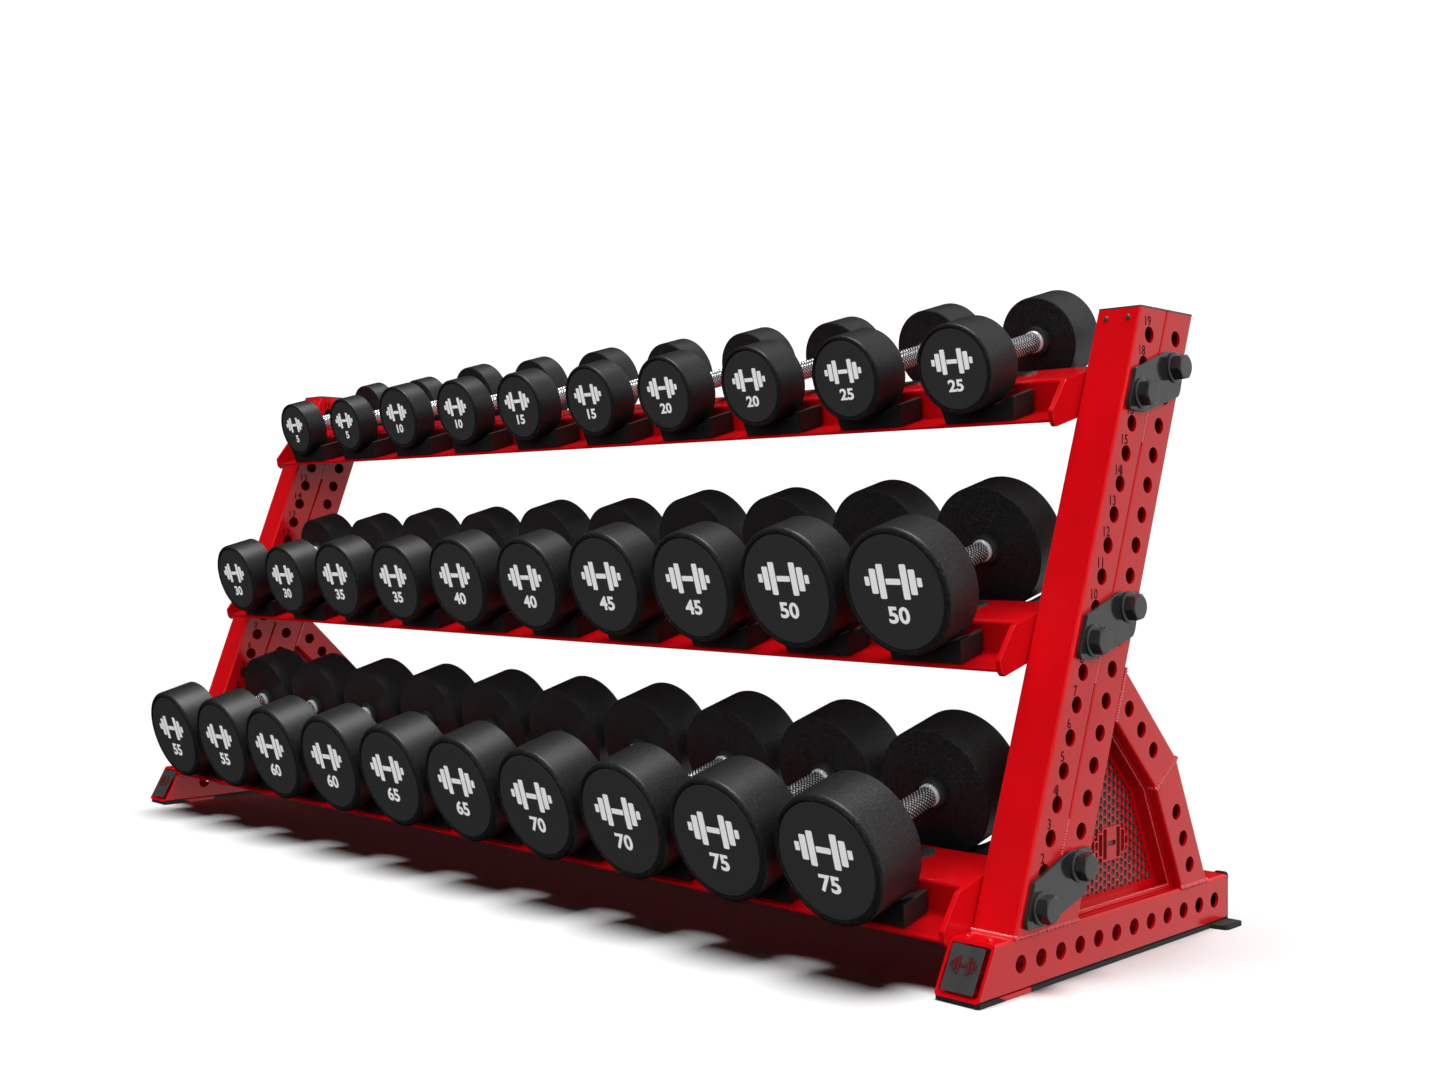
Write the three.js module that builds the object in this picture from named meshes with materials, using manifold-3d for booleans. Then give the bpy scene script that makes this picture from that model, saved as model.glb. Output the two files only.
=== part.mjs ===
// Three tier dumbbell rack with thirty round head dumbbells.
// Millimetres, +X along the shelves, +Y to the back, +Z up, floor at the bottom of the foot pads.
import * as THREE from 'three';
import { mergeVertices } from 'three/addons/utils/BufferGeometryUtils.js';
import Module from 'manifold-3d';

const wasm = await Module();
wasm.setup();

// ---- driving dimensions ----
const frameSpan = 2555;          // outside of one end frame to outside of the other
const tubeSize = 76.2;           // square tube of both end frames
const tubeWall = 5;
const holePitch = 50.8;
const holeRadius = 13.2;
const holeSides = 6;
const gap = 0.3;                 // left between pieces that touch

const padThickness = 7.6;
const tabReach = 28.7;           // floor tab, out from the side of the tube
const tabFront = 267;
const baseRear = 322.6;
const baseFrontLow = -380.5;
const baseFrontHigh = -340.1;
const baseHoleCount = 12;

const rackHeight = 1025;         // top of the uprights above the floor
const uprightLean = 19.56;       // degrees from vertical
const topHoleRoom = 30;          // least height from the last hole's centre to the top of the tube
const firstHoleY = -239.3;
const firstHoleZ = 120.6;

const upperBraceAngle = 45;      // degrees from vertical
const lowerBraceAngle = 24.9;
const upperBraceY = 46;
const upperBraceZ = 354.6;
const lowerBraceY = 175.5;
const lowerBraceZ = 164.6;

const shelfTilt = 16;            // degrees, front edge low
const shelfSheet = 4.8;
const ledgeHeight = -9.4;        // in shelf coordinates, from the front bolt
const humpHeight = 41.9;
const shelfFront = -122;
const shelfRear = 130.3;
const humpFront = -49.3;
const humpRear = 55.9;
const endPlateThickness = 9.5;

const stationCount = 10;
const stationRoom = 53;          // shelf length left over at both ends together
const saddleDepth = 58;
const saddleClear = 7;           // from the saddle to the riser of the hump
const saddleFootHalf = 69;
const saddleTopHalf = 76.5;
const saddleTop = 30;
const cradleBottom = 12.7;
const cradleSide = 18.8;

const plateThickness = 9.5;      // outer bolt plates
const boltRadius = 11.8;
const boltHeadRadius = 22;
const boltHeadHeight = 17;
const washerRadius = 25;
const washerHeight = 5.5;

const handleGap = 167.6;         // clear grip length between two heads
const handleRadius = 16.5;
const handleCentre = 1.3;        // middle of every handle, in shelf coordinates
const headSides = 12;
// weight in pounds: head radius, head length
const weights = {
  top: [[5, 64.8, 49.5], [10, 72.4, 52.1], [15, 72.9, 59], [20, 73.9, 69], [25, 74.4, 76.2]],
  middle: [[30, 83.3, 68.6], [35, 88.4, 69], [40, 94.5, 72], [45, 101, 73], [50, 105.2, 75]],
  bottom: [[55, 105.2, 83], [60, 105.2, 86], [65, 105.2, 90], [70, 105.2, 94], [75, 105.2, 97]],
};

// ---- helpers ----
const rad = (deg) => (deg * Math.PI) / 180;
const X = new THREE.Vector3(1, 0, 0);
const Y = new THREE.Vector3(0, 1, 0);
const Z = new THREE.Vector3(0, 0, 1);

function clean(geometry) {
  const bare = new THREE.BufferGeometry();
  bare.setAttribute('position', geometry.getAttribute('position').clone());
  if (geometry.index) bare.setIndex(geometry.index.clone());
  const merged = mergeVertices(bare, 1e-4);
  const index = merged.index.array;
  const kept = [];
  for (let i = 0; i < index.length; i += 3) {
    const [a, b, c] = [index[i], index[i + 1], index[i + 2]];
    if (a !== b && b !== c && a !== c) kept.push(a, b, c);
  }
  merged.setIndex(kept);
  return merged;
}

// Faces point out when the signed volume is positive.
function faceOut(geometry) {
  const p = geometry.getAttribute('position');
  const index = Array.from(geometry.index.array);
  const [a, b, c] = [new THREE.Vector3(), new THREE.Vector3(), new THREE.Vector3()];
  let volume = 0;
  for (let i = 0; i < index.length; i += 3) {
    a.fromBufferAttribute(p, index[i]);
    b.fromBufferAttribute(p, index[i + 1]);
    c.fromBufferAttribute(p, index[i + 2]);
    volume += a.dot(b.cross(c));
  }
  if (volume < 0) {
    for (let i = 0; i < index.length; i += 3) {
      [index[i + 1], index[i + 2]] = [index[i + 2], index[i + 1]];
    }
    geometry.setIndex(index);
  }
  return geometry;
}

function toSolid(geometry) {
  const g = faceOut(clean(geometry));
  return new wasm.Manifold(new wasm.Mesh({
    numProp: 3,
    vertProperties: new Float32Array(g.getAttribute('position').array),
    triVerts: new Uint32Array(g.index.array),
  }));
}

// Outline of [first, second] pairs swept from one distance to another along the third direction.
function sweep(outline, from, to, origin, first, second, along) {
  const shape = new THREE.Shape(outline.map(([a, b]) => new THREE.Vector2(a, b)));
  const geometry = new THREE.ExtrudeGeometry(shape, { depth: to - from, bevelEnabled: false });
  geometry.translate(0, 0, from);
  geometry.applyMatrix4(new THREE.Matrix4().makeBasis(first, second, along).setPosition(origin));
  return toSolid(geometry);
}

const sideways = (outline, x0, x1) => sweep(outline, x0, x1, new THREE.Vector3(), Y, Z, X);

function polygon(y, z, radius, sides, turn) {
  const points = [];
  for (let i = 0; i < sides; i += 1) {
    const angle = rad(turn) + (i * 2 * Math.PI) / sides;
    points.push([y + radius * Math.cos(angle), z + radius * Math.sin(angle)]);
  }
  return points;
}

// Crossing of two lines, each a point and a direction.
function cross2([py, pz], [dy, dz], [qy, qz], [ey, ez]) {
  const t = ((qy - py) * ez - (qz - pz) * ey) / (dy * ez - dz * ey);
  return [py + t * dy, pz + t * dz];
}

const nodes = [];

function addPiece(name, solid) {
  const mesh = solid.getMesh();
  const count = mesh.vertProperties.length / mesh.numProp;
  const position = new Float32Array(count * 3);
  for (let i = 0; i < count; i += 1) {
    for (let k = 0; k < 3; k += 1) {
      position[3 * i + k] = mesh.vertProperties[i * mesh.numProp + k];
    }
  }
  const geometry = new THREE.BufferGeometry();
  geometry.setAttribute('position', new THREE.BufferAttribute(position, 3));
  geometry.setIndex(Array.from(mesh.triVerts));
  const piece = new THREE.Mesh(geometry, new THREE.MeshStandardMaterial());
  piece.name = name;
  nodes.push(piece);
}

// ---- end frames ----
const half = tubeSize / 2;
const inner = half - tubeWall;
const far = 4000;
const baseLow = padThickness;
const baseTop = baseLow + tubeSize;
const lean = [Math.sin(rad(uprightLean)), Math.cos(rad(uprightLean))];
const back = [lean[1], -lean[0]];
const upperDir = [Math.sin(rad(upperBraceAngle)), -Math.cos(rad(upperBraceAngle))];
const lowerDir = [Math.sin(rad(lowerBraceAngle)), -Math.cos(rad(lowerBraceAngle))];
const holeRise = holePitch * lean[1];
const uprightHoleCount = 1 + Math.floor((rackHeight - topHoleRoom - firstHoleZ) / holeRise);
const topTierHole = uprightHoleCount - 3;
const tierHole = { bottom: 0, middle: Math.round(topTierHole / 2), top: topTierHole };
const shelfClear = frameSpan - 2 * (tubeSize + gap + endPlateThickness);
const stationPitch = (shelfClear - stationRoom) / stationCount;
const sideOf = (d, w) => [d[1] * w, -d[0] * w];
const shifted = ([y, z], [dy, dz]) => [y + dy, z + dz];

const rearHoleShift = tubeSize * Math.tan(rad(uprightLean)); // both columns share heights

const columnHole = (column, index) => {
  const along = index * holePitch + (column === 'rear' ? rearHoleShift : 0);
  const across = column === 'rear' ? tubeSize : 0;
  return [
    firstHoleY + lean[0] * along + back[0] * across,
    firstHoleZ + lean[1] * along + back[1] * across,
  ];
};

// Strip of a leaning tube between two heights, edges measured from the front column line.
function leaningStrip(fromAcross, toAcross, zLow, zHigh) {
  const at = (across, z) => {
    const start = [firstHoleY + back[0] * across, firstHoleZ + back[1] * across];
    return cross2(start, lean, [0, z], [1, 0]);
  };
  return [at(fromAcross, zLow), at(toAcross, zLow), at(toAcross, zHigh), at(fromAcross, zHigh)];
}

const uprightRearFace = [
  firstHoleY + back[0] * (half + tubeSize + gap),
  firstHoleZ + back[1] * (half + tubeSize + gap),
];

// Outline of the two mitred braces at a given half width, ends cut at the upright and the base.
function braceOutline(w, overrun) {
  const up = [upperBraceY, upperBraceZ];
  const low = [lowerBraceY, lowerBraceZ];
  const faceLine = shifted(uprightRearFace, [-back[0] * overrun, -back[1] * overrun]);
  const floorLine = [0, baseTop + gap - overrun];
  const upOut = shifted(up, sideOf(upperDir, -w));
  const upIn = shifted(up, sideOf(upperDir, w));
  const lowOut = shifted(low, sideOf(lowerDir, -w));
  const lowIn = shifted(low, sideOf(lowerDir, w));
  return [
    cross2(upIn, upperDir, faceLine, lean),
    cross2(upIn, upperDir, lowIn, lowerDir),
    cross2(lowIn, lowerDir, floorLine, [1, 0]),
    cross2(lowOut, lowerDir, floorLine, [1, 0]),
    cross2(upOut, upperDir, lowOut, lowerDir),
    cross2(upOut, upperDir, faceLine, lean),
  ];
}

function drilled(solid, centres, x0, x1, turn) {
  let result = solid;
  for (const [y, z] of centres) {
    result = result.subtract(sideways(polygon(y, z, holeRadius, holeSides, turn), x0 - 10, x1 + 10));
  }
  return result;
}

const baseHoles = [];
for (let i = 0; i < baseHoleCount; i += 1) {
  baseHoles.push([(i - (baseHoleCount - 1) / 2) * holePitch, baseLow + half]);
}
const uprightHoles = [];
for (let i = 0; i < uprightHoleCount; i += 1) {
  uprightHoles.push(columnHole('front', i), columnHole('rear', i));
}
const braceHoles = [];
for (const k of [-1, 0, 1]) {
  const d = k * holePitch;
  braceHoles.push([upperBraceY + upperDir[0] * d, upperBraceZ + upperDir[1] * d]);
  braceHoles.push([lowerBraceY + lowerDir[0] * d, lowerBraceZ + lowerDir[1] * d]);
}

function addFrame(side, x0, x1) {
  const outer = [
    [baseFrontLow, baseLow],
    [baseRear, baseLow],
    [baseRear, baseTop],
    [baseFrontHigh, baseTop],
  ];
  const bore = [
    [-far, baseLow + tubeWall],
    [far, baseLow + tubeWall],
    [far, baseTop - tubeWall],
    [-far, baseTop - tubeWall],
  ];
  const weldPlate = [
    [-315, baseLow - 4.5],
    [-253, baseLow - 4.5],
    [-253, baseLow + 1],
    [-315, baseLow + 1],
  ];
  let base = sideways(outer, x0, x1);
  base = base.add(sideways(weldPlate, x0 - 2, x1 + 2));
  base = base.subtract(sideways(bore, x0 + tubeWall, x1 - tubeWall));
  addPiece(`base_tube_${side}`, drilled(base, baseHoles, x0, x1, 0));

  let uprights = sideways(leaningStrip(-half, half + tubeSize, baseTop + gap, rackHeight), x0, x1);
  for (const across of [0, tubeSize]) {
    const hollow = leaningStrip(across - inner, across + inner, 0, rackHeight + 200);
    uprights = uprights.subtract(sideways(hollow, x0 + tubeWall, x1 - tubeWall));
  }
  addPiece(`uprights_${side}`, drilled(uprights, uprightHoles, x0, x1, 30));

  let brace = sideways(braceOutline(half, 0), x0, x1);
  brace = brace.subtract(sideways(braceOutline(inner, 40), x0 + tubeWall, x1 - tubeWall));
  addPiece(`rear_brace_${side}`, drilled(brace, braceHoles, x0, x1, 30));

  const middle = (x0 + x1) / 2;
  addPiece(`gusset_${side}`, gussetSolid(middle));

  const slant = (baseFrontHigh - baseFrontLow) / tubeSize;
  const frontAt = (z, out) => baseFrontLow + slant * (z - baseLow) - out;
  const capLow = baseLow + 3;
  const capHigh = baseTop - 3;
  const cap = [
    [frontAt(capLow, 4.5), capLow],
    [frontAt(capLow, gap), capLow],
    [frontAt(capHigh, gap), capHigh],
    [frontAt(capHigh, 4.5), capHigh],
  ];
  addPiece(`front_cap_${side}`, sideways(cap, x0 + 2.5, x1 - 2.5));

  const pad = [
    [baseFrontLow + 4, 0],
    [baseRear + 4, 0],
    [baseRear + 4, baseTop + 3],
    [baseRear - 8, baseTop + 3],
    [baseRear - 8, baseTop + gap],
    [baseRear + gap, baseTop + gap],
    [baseRear + gap, padThickness - gap],
    [-252, padThickness - gap],
    [-252, 2.5],
    [-316, 2.5],
    [-316, padThickness - gap],
    [baseFrontLow + 4, padThickness - gap],
  ];
  const outward = side === 'left' ? -1 : 1;
  const edge = side === 'left' ? x0 : x1;
  const reach = edge + outward * tabReach;
  const tab = [
    [edge - outward * 10, tabFront],
    [edge + outward * 8, tabFront],
    [reach, tabFront + 9],
    [reach, baseRear - 5],
    [reach - outward * 9, baseRear + 4],
    [edge - outward * 10, baseRear + 4],
  ];
  const tabSolid = sweep(tab, 0, padThickness - gap, new THREE.Vector3(), X, Y, Z);
  addPiece(`foot_pad_${side}`, sideways(pad, x0, x1).add(tabSolid));

  const top = leaningStrip(-half, half + tubeSize, rackHeight + gap, rackHeight + 3.3);
  addPiece(`top_cap_${side}`, sideways(top, x0, x1));
}

// Panel filling the corner between the rear tube, the braces and the base.
function gussetSolid(middle) {
  const inset = (w) => {
    const rear = shifted(uprightRearFace, [back[0] * w, back[1] * w]);
    const up = shifted([upperBraceY, upperBraceZ], sideOf(upperDir, half + w));
    const low = shifted([lowerBraceY, lowerBraceZ], sideOf(lowerDir, half + w));
    const floor = [0, baseTop + gap + w];
    return [
      cross2(rear, lean, floor, [1, 0]),
      cross2(low, lowerDir, floor, [1, 0]),
      cross2(up, upperDir, low, lowerDir),
      cross2(up, upperDir, rear, lean),
    ];
  };
  const rim = sideways(inset(gap), middle - 16, middle + 16);
  const pocketA = sideways(inset(4), middle + 2, middle + 30);
  const pocketB = sideways(inset(4), middle - 30, middle - 2);
  return rim.subtract(pocketA).subtract(pocketB);
}

const outerX = frameSpan / 2;
const innerX = outerX - tubeSize;
addFrame('left', -outerX, -innerX);
addFrame('right', innerX, outerX);

// ---- shelves ----
const tilt = rad(shelfTilt);
const alongShelf = new THREE.Vector3(0, Math.cos(tilt), Math.sin(tilt));
const upShelf = new THREE.Vector3(0, -Math.sin(tilt), Math.cos(tilt));
const forward = alongShelf.clone().negate();

function tierOrigin(tier) {
  const [y, z] = columnHole('front', tierHole[tier]);
  return new THREE.Vector3(0, y, z);
}

// Second bolt of each shelf end, in shelf coordinates.
const boltStep = (() => {
  const a = columnHole('front', 0);
  const b = columnHole('rear', 1);
  const d = new THREE.Vector3(0, b[0] - a[0], b[1] - a[1]);
  return [d.dot(alongShelf), d.dot(upShelf)];
})();

function addShelf(tier) {
  const origin = tierOrigin(tier);
  const plateOuter = innerX - gap;
  const plateInner = plateOuter - endPlateThickness;
  const t = shelfSheet;
  const channel = [
    [shelfFront, ledgeHeight - t],
    [humpFront + t, ledgeHeight - t],
    [humpFront + t, humpHeight - t],
    [humpRear - t, humpHeight - t],
    [humpRear - t, ledgeHeight - t],
    [shelfRear, ledgeHeight - t],
    [shelfRear, ledgeHeight],
    [humpRear, ledgeHeight],
    [humpRear, humpHeight],
    [humpFront, humpHeight],
    [humpFront, ledgeHeight],
    [shelfFront, ledgeHeight],
  ];
  const plate = [
    [shelfFront + 4.4, ledgeHeight - 13.1],
    [shelfRear + 3.7, ledgeHeight - 13.1],
    [shelfRear + 11.7, ledgeHeight - 5.6],
    [shelfRear + 11.7, humpHeight - 3.9],
    [shelfRear + 5.7, humpHeight + 1.8],
    [humpFront - 20.7, humpHeight + 1.8],
    [humpFront - 25.7, humpHeight - 1.3],
    [shelfFront + 0.8, ledgeHeight + 13.7],
    [shelfFront - 0.7, ledgeHeight - 3.8],
  ];
  let solid = sweep(channel, -plateInner - 1, plateInner + 1, origin, alongShelf, upShelf, X);
  for (const [x0, x1] of [[-plateOuter, -plateInner], [plateInner, plateOuter]]) {
    let end = sweep(plate, x0, x1, origin, alongShelf, upShelf, X);
    for (const [s, n] of [[0, 0], boltStep]) {
      const hole = polygon(s, n, boltRadius + 1, holeSides, 0);
      end = end.subtract(sweep(hole, x0 - 5, x1 + 5, origin, alongShelf, upShelf, X));
    }
    solid = solid.add(end);
  }
  addPiece(`shelf_${tier}`, solid);
}

// Bolt plate on the outside of an end frame, with both bolts and their nuts.
function addBoltPlate(tier, side) {
  const sign = side === 'left' ? -1 : 1;
  const origin = tierOrigin(tier);
  const outward = X.clone().multiplyScalar(sign);
  const build = (outline, x0, x1) => sweep(outline, x0, x1, origin, Y, Z, outward);
  const face = outerX + gap;
  const [rearY, rearZ] = (() => {
    const a = columnHole('front', 0);
    const b = columnHole('rear', 1);
    return [b[0] - a[0], b[1] - a[1]];
  })();
  const outline = [
    [-37.6, -15.2],
    [-34, -26.7],
    [12.7, -27.9],
    [111.8, 1.5],
    [117.3, 10.2],
    [132, 66],
    [127, 72.4],
    [73.4, 71.9],
    [-16.8, 39.6],
    [-21.8, 24.1],
  ];
  let solid = build(outline, face, face + plateThickness);
  const nutFace = innerX - 2 * gap - endPlateThickness;
  for (const [y, z] of [[0, 0], [rearY, rearZ]]) {
    const seat = face + plateThickness;
    solid = solid.add(build(polygon(y, z, washerRadius, 8, 0), seat - 1, seat + washerHeight));
    solid = solid.add(build(polygon(y, z, boltHeadRadius, 6, 10), seat, seat + washerHeight + boltHeadHeight));
    solid = solid.add(build(polygon(y, z, boltRadius - 1, 6, 30), nutFace - 16, seat));
    solid = solid.add(build(polygon(y, z, boltHeadRadius, 6, 10), nutFace - 13, nutFace));
  }
  addPiece(`bolt_plate_${tier}_${side}`, solid);
}

// Row of saddles joined by a low web lying on the ledge.
function addSaddles(tier, row) {
  const origin = tierOrigin(tier);
  const low = ledgeHeight + gap;
  const web = low + 1.5;
  const first = -((stationCount - 1) / 2) * stationPitch;
  const last = -first;
  const outline = [[first - saddleFootHalf, low], [last + saddleFootHalf, low]];
  for (let i = stationCount - 1; i >= 0; i -= 1) {
    const x = first + i * stationPitch;
    const lean2 = (saddleTopHalf - saddleFootHalf) * (web - low) / (saddleTop - low);
    if (i < stationCount - 1) outline.push([x + saddleFootHalf + lean2, web]);
    outline.push([x + saddleTopHalf, saddleTop]);
    outline.push([x + saddleTopHalf / 2, cradleSide]);
    outline.push([x, cradleBottom]);
    outline.push([x - saddleTopHalf / 2, cradleSide]);
    outline.push([x - saddleTopHalf, saddleTop]);
    if (i > 0) outline.push([x - saddleFootHalf - lean2, web]);
  }
  const near = row === 'front' ? -(humpFront - saddleClear) : -(humpRear + saddleClear + saddleDepth);
  addPiece(`saddles_${row}_${tier}`, sweep(outline, near, near + saddleDepth, origin, X, upShelf, forward));
}

// One dumbbell, turned about its own axis, resting in its two saddles.
function addDumbbell(tier, station, pounds, radius, length, copy) {
  const profile = [
    [0, -handleGap / 2 - length],
    [radius, -handleGap / 2 - length],
    [radius, -handleGap / 2],
    [handleRadius, -handleGap / 2],
    [handleRadius, handleGap / 2],
    [radius, handleGap / 2],
    [radius, handleGap / 2 + length],
    [0, handleGap / 2 + length],
  ];
  const points = profile.map(([r, h]) => new THREE.Vector2(r, h));
  const geometry = new THREE.LatheGeometry(points, headSides);
  const x = (station - (stationCount - 1) / 2) * stationPitch;
  const centre = tierOrigin(tier)
    .addScaledVector(X, x)
    .addScaledVector(alongShelf, handleCentre)
    .addScaledVector(upShelf, cradleBottom + gap + radius);
  const basis = new THREE.Matrix4().makeBasis(X, alongShelf, upShelf).setPosition(centre);
  geometry.applyMatrix4(basis);
  addPiece(`dumbbell_${String(pounds).padStart(2, '0')}_${copy}`, toSolid(geometry));
}

for (const tier of ['bottom', 'middle', 'top']) {
  addShelf(tier);
  addBoltPlate(tier, 'left');
  addBoltPlate(tier, 'right');
  addSaddles(tier, 'front');
  addSaddles(tier, 'rear');
  weights[tier].forEach(([pounds, radius, length], k) => {
    addDumbbell(tier, 2 * k, pounds, radius, length, 'a');
    addDumbbell(tier, 2 * k + 1, pounds, radius, length, 'b');
  });
}

// ---- origin at the middle of the footprint, on the floor ----
const group = new THREE.Group();
group.name = 'dumbbell_rack';
const box = new THREE.Box3();
for (const piece of nodes) {
  box.union(new THREE.Box3().setFromBufferAttribute(piece.geometry.getAttribute('position')));
}
const middle = box.getCenter(new THREE.Vector3());
for (const piece of nodes) {
  piece.geometry.translate(-middle.x, -middle.y, -box.min.z);
  piece.geometry.computeVertexNormals();
  group.add(piece);
}

export default group;
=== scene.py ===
import math
import bpy
from mathutils import Matrix, Vector


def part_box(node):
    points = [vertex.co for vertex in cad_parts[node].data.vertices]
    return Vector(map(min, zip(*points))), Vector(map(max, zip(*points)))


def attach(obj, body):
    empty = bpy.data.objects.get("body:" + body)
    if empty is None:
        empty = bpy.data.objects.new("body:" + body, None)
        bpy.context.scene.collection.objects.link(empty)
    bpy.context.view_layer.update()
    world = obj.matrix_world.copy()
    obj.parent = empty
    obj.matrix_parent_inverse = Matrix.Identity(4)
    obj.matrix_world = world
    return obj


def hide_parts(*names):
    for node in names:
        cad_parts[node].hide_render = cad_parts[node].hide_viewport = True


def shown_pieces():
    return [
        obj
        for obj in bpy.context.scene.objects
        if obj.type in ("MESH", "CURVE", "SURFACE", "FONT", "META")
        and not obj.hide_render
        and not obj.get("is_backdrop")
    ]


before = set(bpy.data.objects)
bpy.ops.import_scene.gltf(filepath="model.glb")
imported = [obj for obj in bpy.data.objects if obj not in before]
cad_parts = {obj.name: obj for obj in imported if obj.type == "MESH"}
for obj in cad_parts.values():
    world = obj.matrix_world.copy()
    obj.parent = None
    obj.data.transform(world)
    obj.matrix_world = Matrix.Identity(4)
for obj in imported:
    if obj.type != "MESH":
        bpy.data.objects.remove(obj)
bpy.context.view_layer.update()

mm = 0.001

# ---------- places shared with the frame ----------

tubeBox = {side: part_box("base_tube_" + side) for side in ("left", "right")}
shiftY = tubeBox["right"][1].y - 322.6 * mm  # the measures below count from the middle of the base holes
rackPlan = {
    "tube": 76.2,
    "wall": 5.0,
    "pitch": 50.8,
    "holeRadius": 13.2,
    "baseLow": 7.6,
    "baseRear": 322.6,
    "baseFrontLow": -380.5,
    "baseFrontHigh": -340.1,
    "baseHoles": 12,
    "height": 1025.0,
    "lean": 19.56,
    "uprightHoles": 19,
    "firstHole": (-239.3, 120.6),
    "upperBrace": (45.0, 46.0, 354.6),
    "lowerBrace": (24.9, 175.5, 164.6),
    "tierHole": {"bottom": 0, "middle": 8, "top": 16},
    "shelfTilt": 16.0,
    "edgeRadius": 5.0,
}
half = rackPlan["tube"] / 2
baseTop = rackPlan["baseLow"] + rackPlan["tube"]
leanDir = (math.sin(math.radians(rackPlan["lean"])), math.cos(math.radians(rackPlan["lean"])))
backDir = (leanDir[1], -leanDir[0])
sideways = Matrix(((0, 0, 1, 0), (1, 0, 0, shiftY), (0, 1, 0, 0), (0, 0, 0, 1)))  # outline in Y and Z, depth along X


def cross2(p, d, q, e):
    t = ((q[0] - p[0]) * e[1] - (q[1] - p[1]) * e[0]) / (d[0] * e[1] - d[1] * e[0])
    return (p[0] + t * d[0], p[1] + t * d[1])


def columnHole(rear, index):
    along = index * rackPlan["pitch"] + (rackPlan["tube"] * math.tan(math.radians(rackPlan["lean"])) if rear else 0)
    across = rackPlan["tube"] if rear else 0
    y, z = rackPlan["firstHole"]
    return (y + leanDir[0] * along + backDir[0] * across, z + leanDir[1] * along + backDir[1] * across)


def leaningStrip(fromAcross, toAcross, zLow, zHigh):
    def at(across, z):
        y0, z0 = rackPlan["firstHole"]
        return cross2((y0 + backDir[0] * across, z0 + backDir[1] * across), leanDir, (0, z), (1, 0))
    return [at(fromAcross, zLow), at(toAcross, zLow), at(toAcross, zHigh), at(fromAcross, zHigh)]


def shelfPlace(tier):
    y, z = columnHole(False, rackPlan["tierHole"][tier])
    c, s = math.cos(math.radians(rackPlan["shelfTilt"])), math.sin(math.radians(rackPlan["shelfTilt"]))
    return Matrix(((0, 0, 1, 0), (c, -s, 0, y * mm + shiftY), (s, c, 0, z * mm), (0, 0, 0, 1)))


# ---------- camera, floor and light ----------

cameraSet = {
    "place": (2.63101, -2.17754, 0.66269),
    "azimuth": 43.184,
    "elevation": -0.294,
    "roll": 0.053,
    "lens": 40.04,
    "shift": (-0.05606, 0.00093),
}
studio = {
    "floorColour": (0.95, 0.95, 0.95),
    "skyBright": 0.85,
    "skyDim": 0.0,
    "skyToward": (0.68, 0.72, 0.12),
    "skyFrom": 0.25,
    "skyFull": 0.85,
    # each sun: where it shines from, its spread in degrees, its power, whether it shows in reflections, whether it lights the floor
    "suns": {
        "overhead": ((0.03, -0.05, 1.0), 30, 3.5, True, True),
        "frontFill": ((0.1, -1.0, 0.25), 60, 2.75, False, False),
        "rightFill": ((1.0, -0.1, 0.45), 60, 3.2, False, False),
        "backFill": ((-0.2, 1.0, 0.35), 70, 1.6, False, False),
        "leftFill": ((-1.0, 0.2, 0.4), 70, 1.3, False, False),
        "underFill": ((0.1, -0.2, -1.0), 70, 0.06, False, False),
    },
}


def makeCamera():
    data = bpy.data.cameras.new("rackCamera")
    data.sensor_width = 36
    data.lens = cameraSet["lens"]
    data.shift_x, data.shift_y = cameraSet["shift"]
    data.clip_end = 80
    cam = bpy.data.objects.new("rackCamera", data)
    x, y, z = cameraSet["place"]
    cam.location = (x, y + shiftY, z)
    turn = Matrix.Rotation(math.radians(cameraSet["azimuth"]), 4, "Z")
    tip = Matrix.Rotation(math.radians(90 + cameraSet["elevation"]), 4, "X")
    roll = Matrix.Rotation(math.radians(cameraSet["roll"]), 4, "Z")
    cam.rotation_euler = (turn @ tip @ roll).to_euler()
    bpy.context.scene.collection.objects.link(cam)
    bpy.context.scene.camera = cam


def makeSun(name, shineFrom, spread, power, glossy, onFloor):
    data = bpy.data.lights.new(name, "SUN")
    data.energy = power
    data.angle = math.radians(spread)
    lamp = bpy.data.objects.new(name, data)
    lamp.rotation_euler = Vector(shineFrom).to_track_quat("Z", "Y").to_euler()
    lamp.visible_glossy = glossy
    if not onFloor:
        lamp.light_linking.receiver_collection = rackOnly  # the fills light the rack and leave its shadow on the floor dark
    bpy.context.scene.collection.objects.link(lamp)


makeCamera()
print("camera made")

# ---------- finishes ----------


class Wire:
    def __init__(self, finish, socket):
        self.finish, self.socket = finish, socket

    def maths(self, operation, a, b=None, c=None):
        inputs = {i: v for i, v in enumerate((a, b, c)) if v is not None}
        return self.finish.node("ShaderNodeMath", {"operation": operation}, inputs)[0]

    def __add__(self, other):
        return self.maths("ADD", self, other)

    def __radd__(self, other):
        return self.maths("ADD", other, self)

    def __sub__(self, other):
        return self.maths("SUBTRACT", self, other)

    def __rsub__(self, other):
        return self.maths("SUBTRACT", other, self)

    def __mul__(self, other):
        return self.maths("MULTIPLY", self, other)

    def __rmul__(self, other):
        return self.maths("MULTIPLY", other, self)

    def clipped(self, low, high):
        return self.finish.node("ShaderNodeMapRange", {"clamp": True}, {"Value": self, "From Min": low, "From Max": high})[0]


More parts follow.
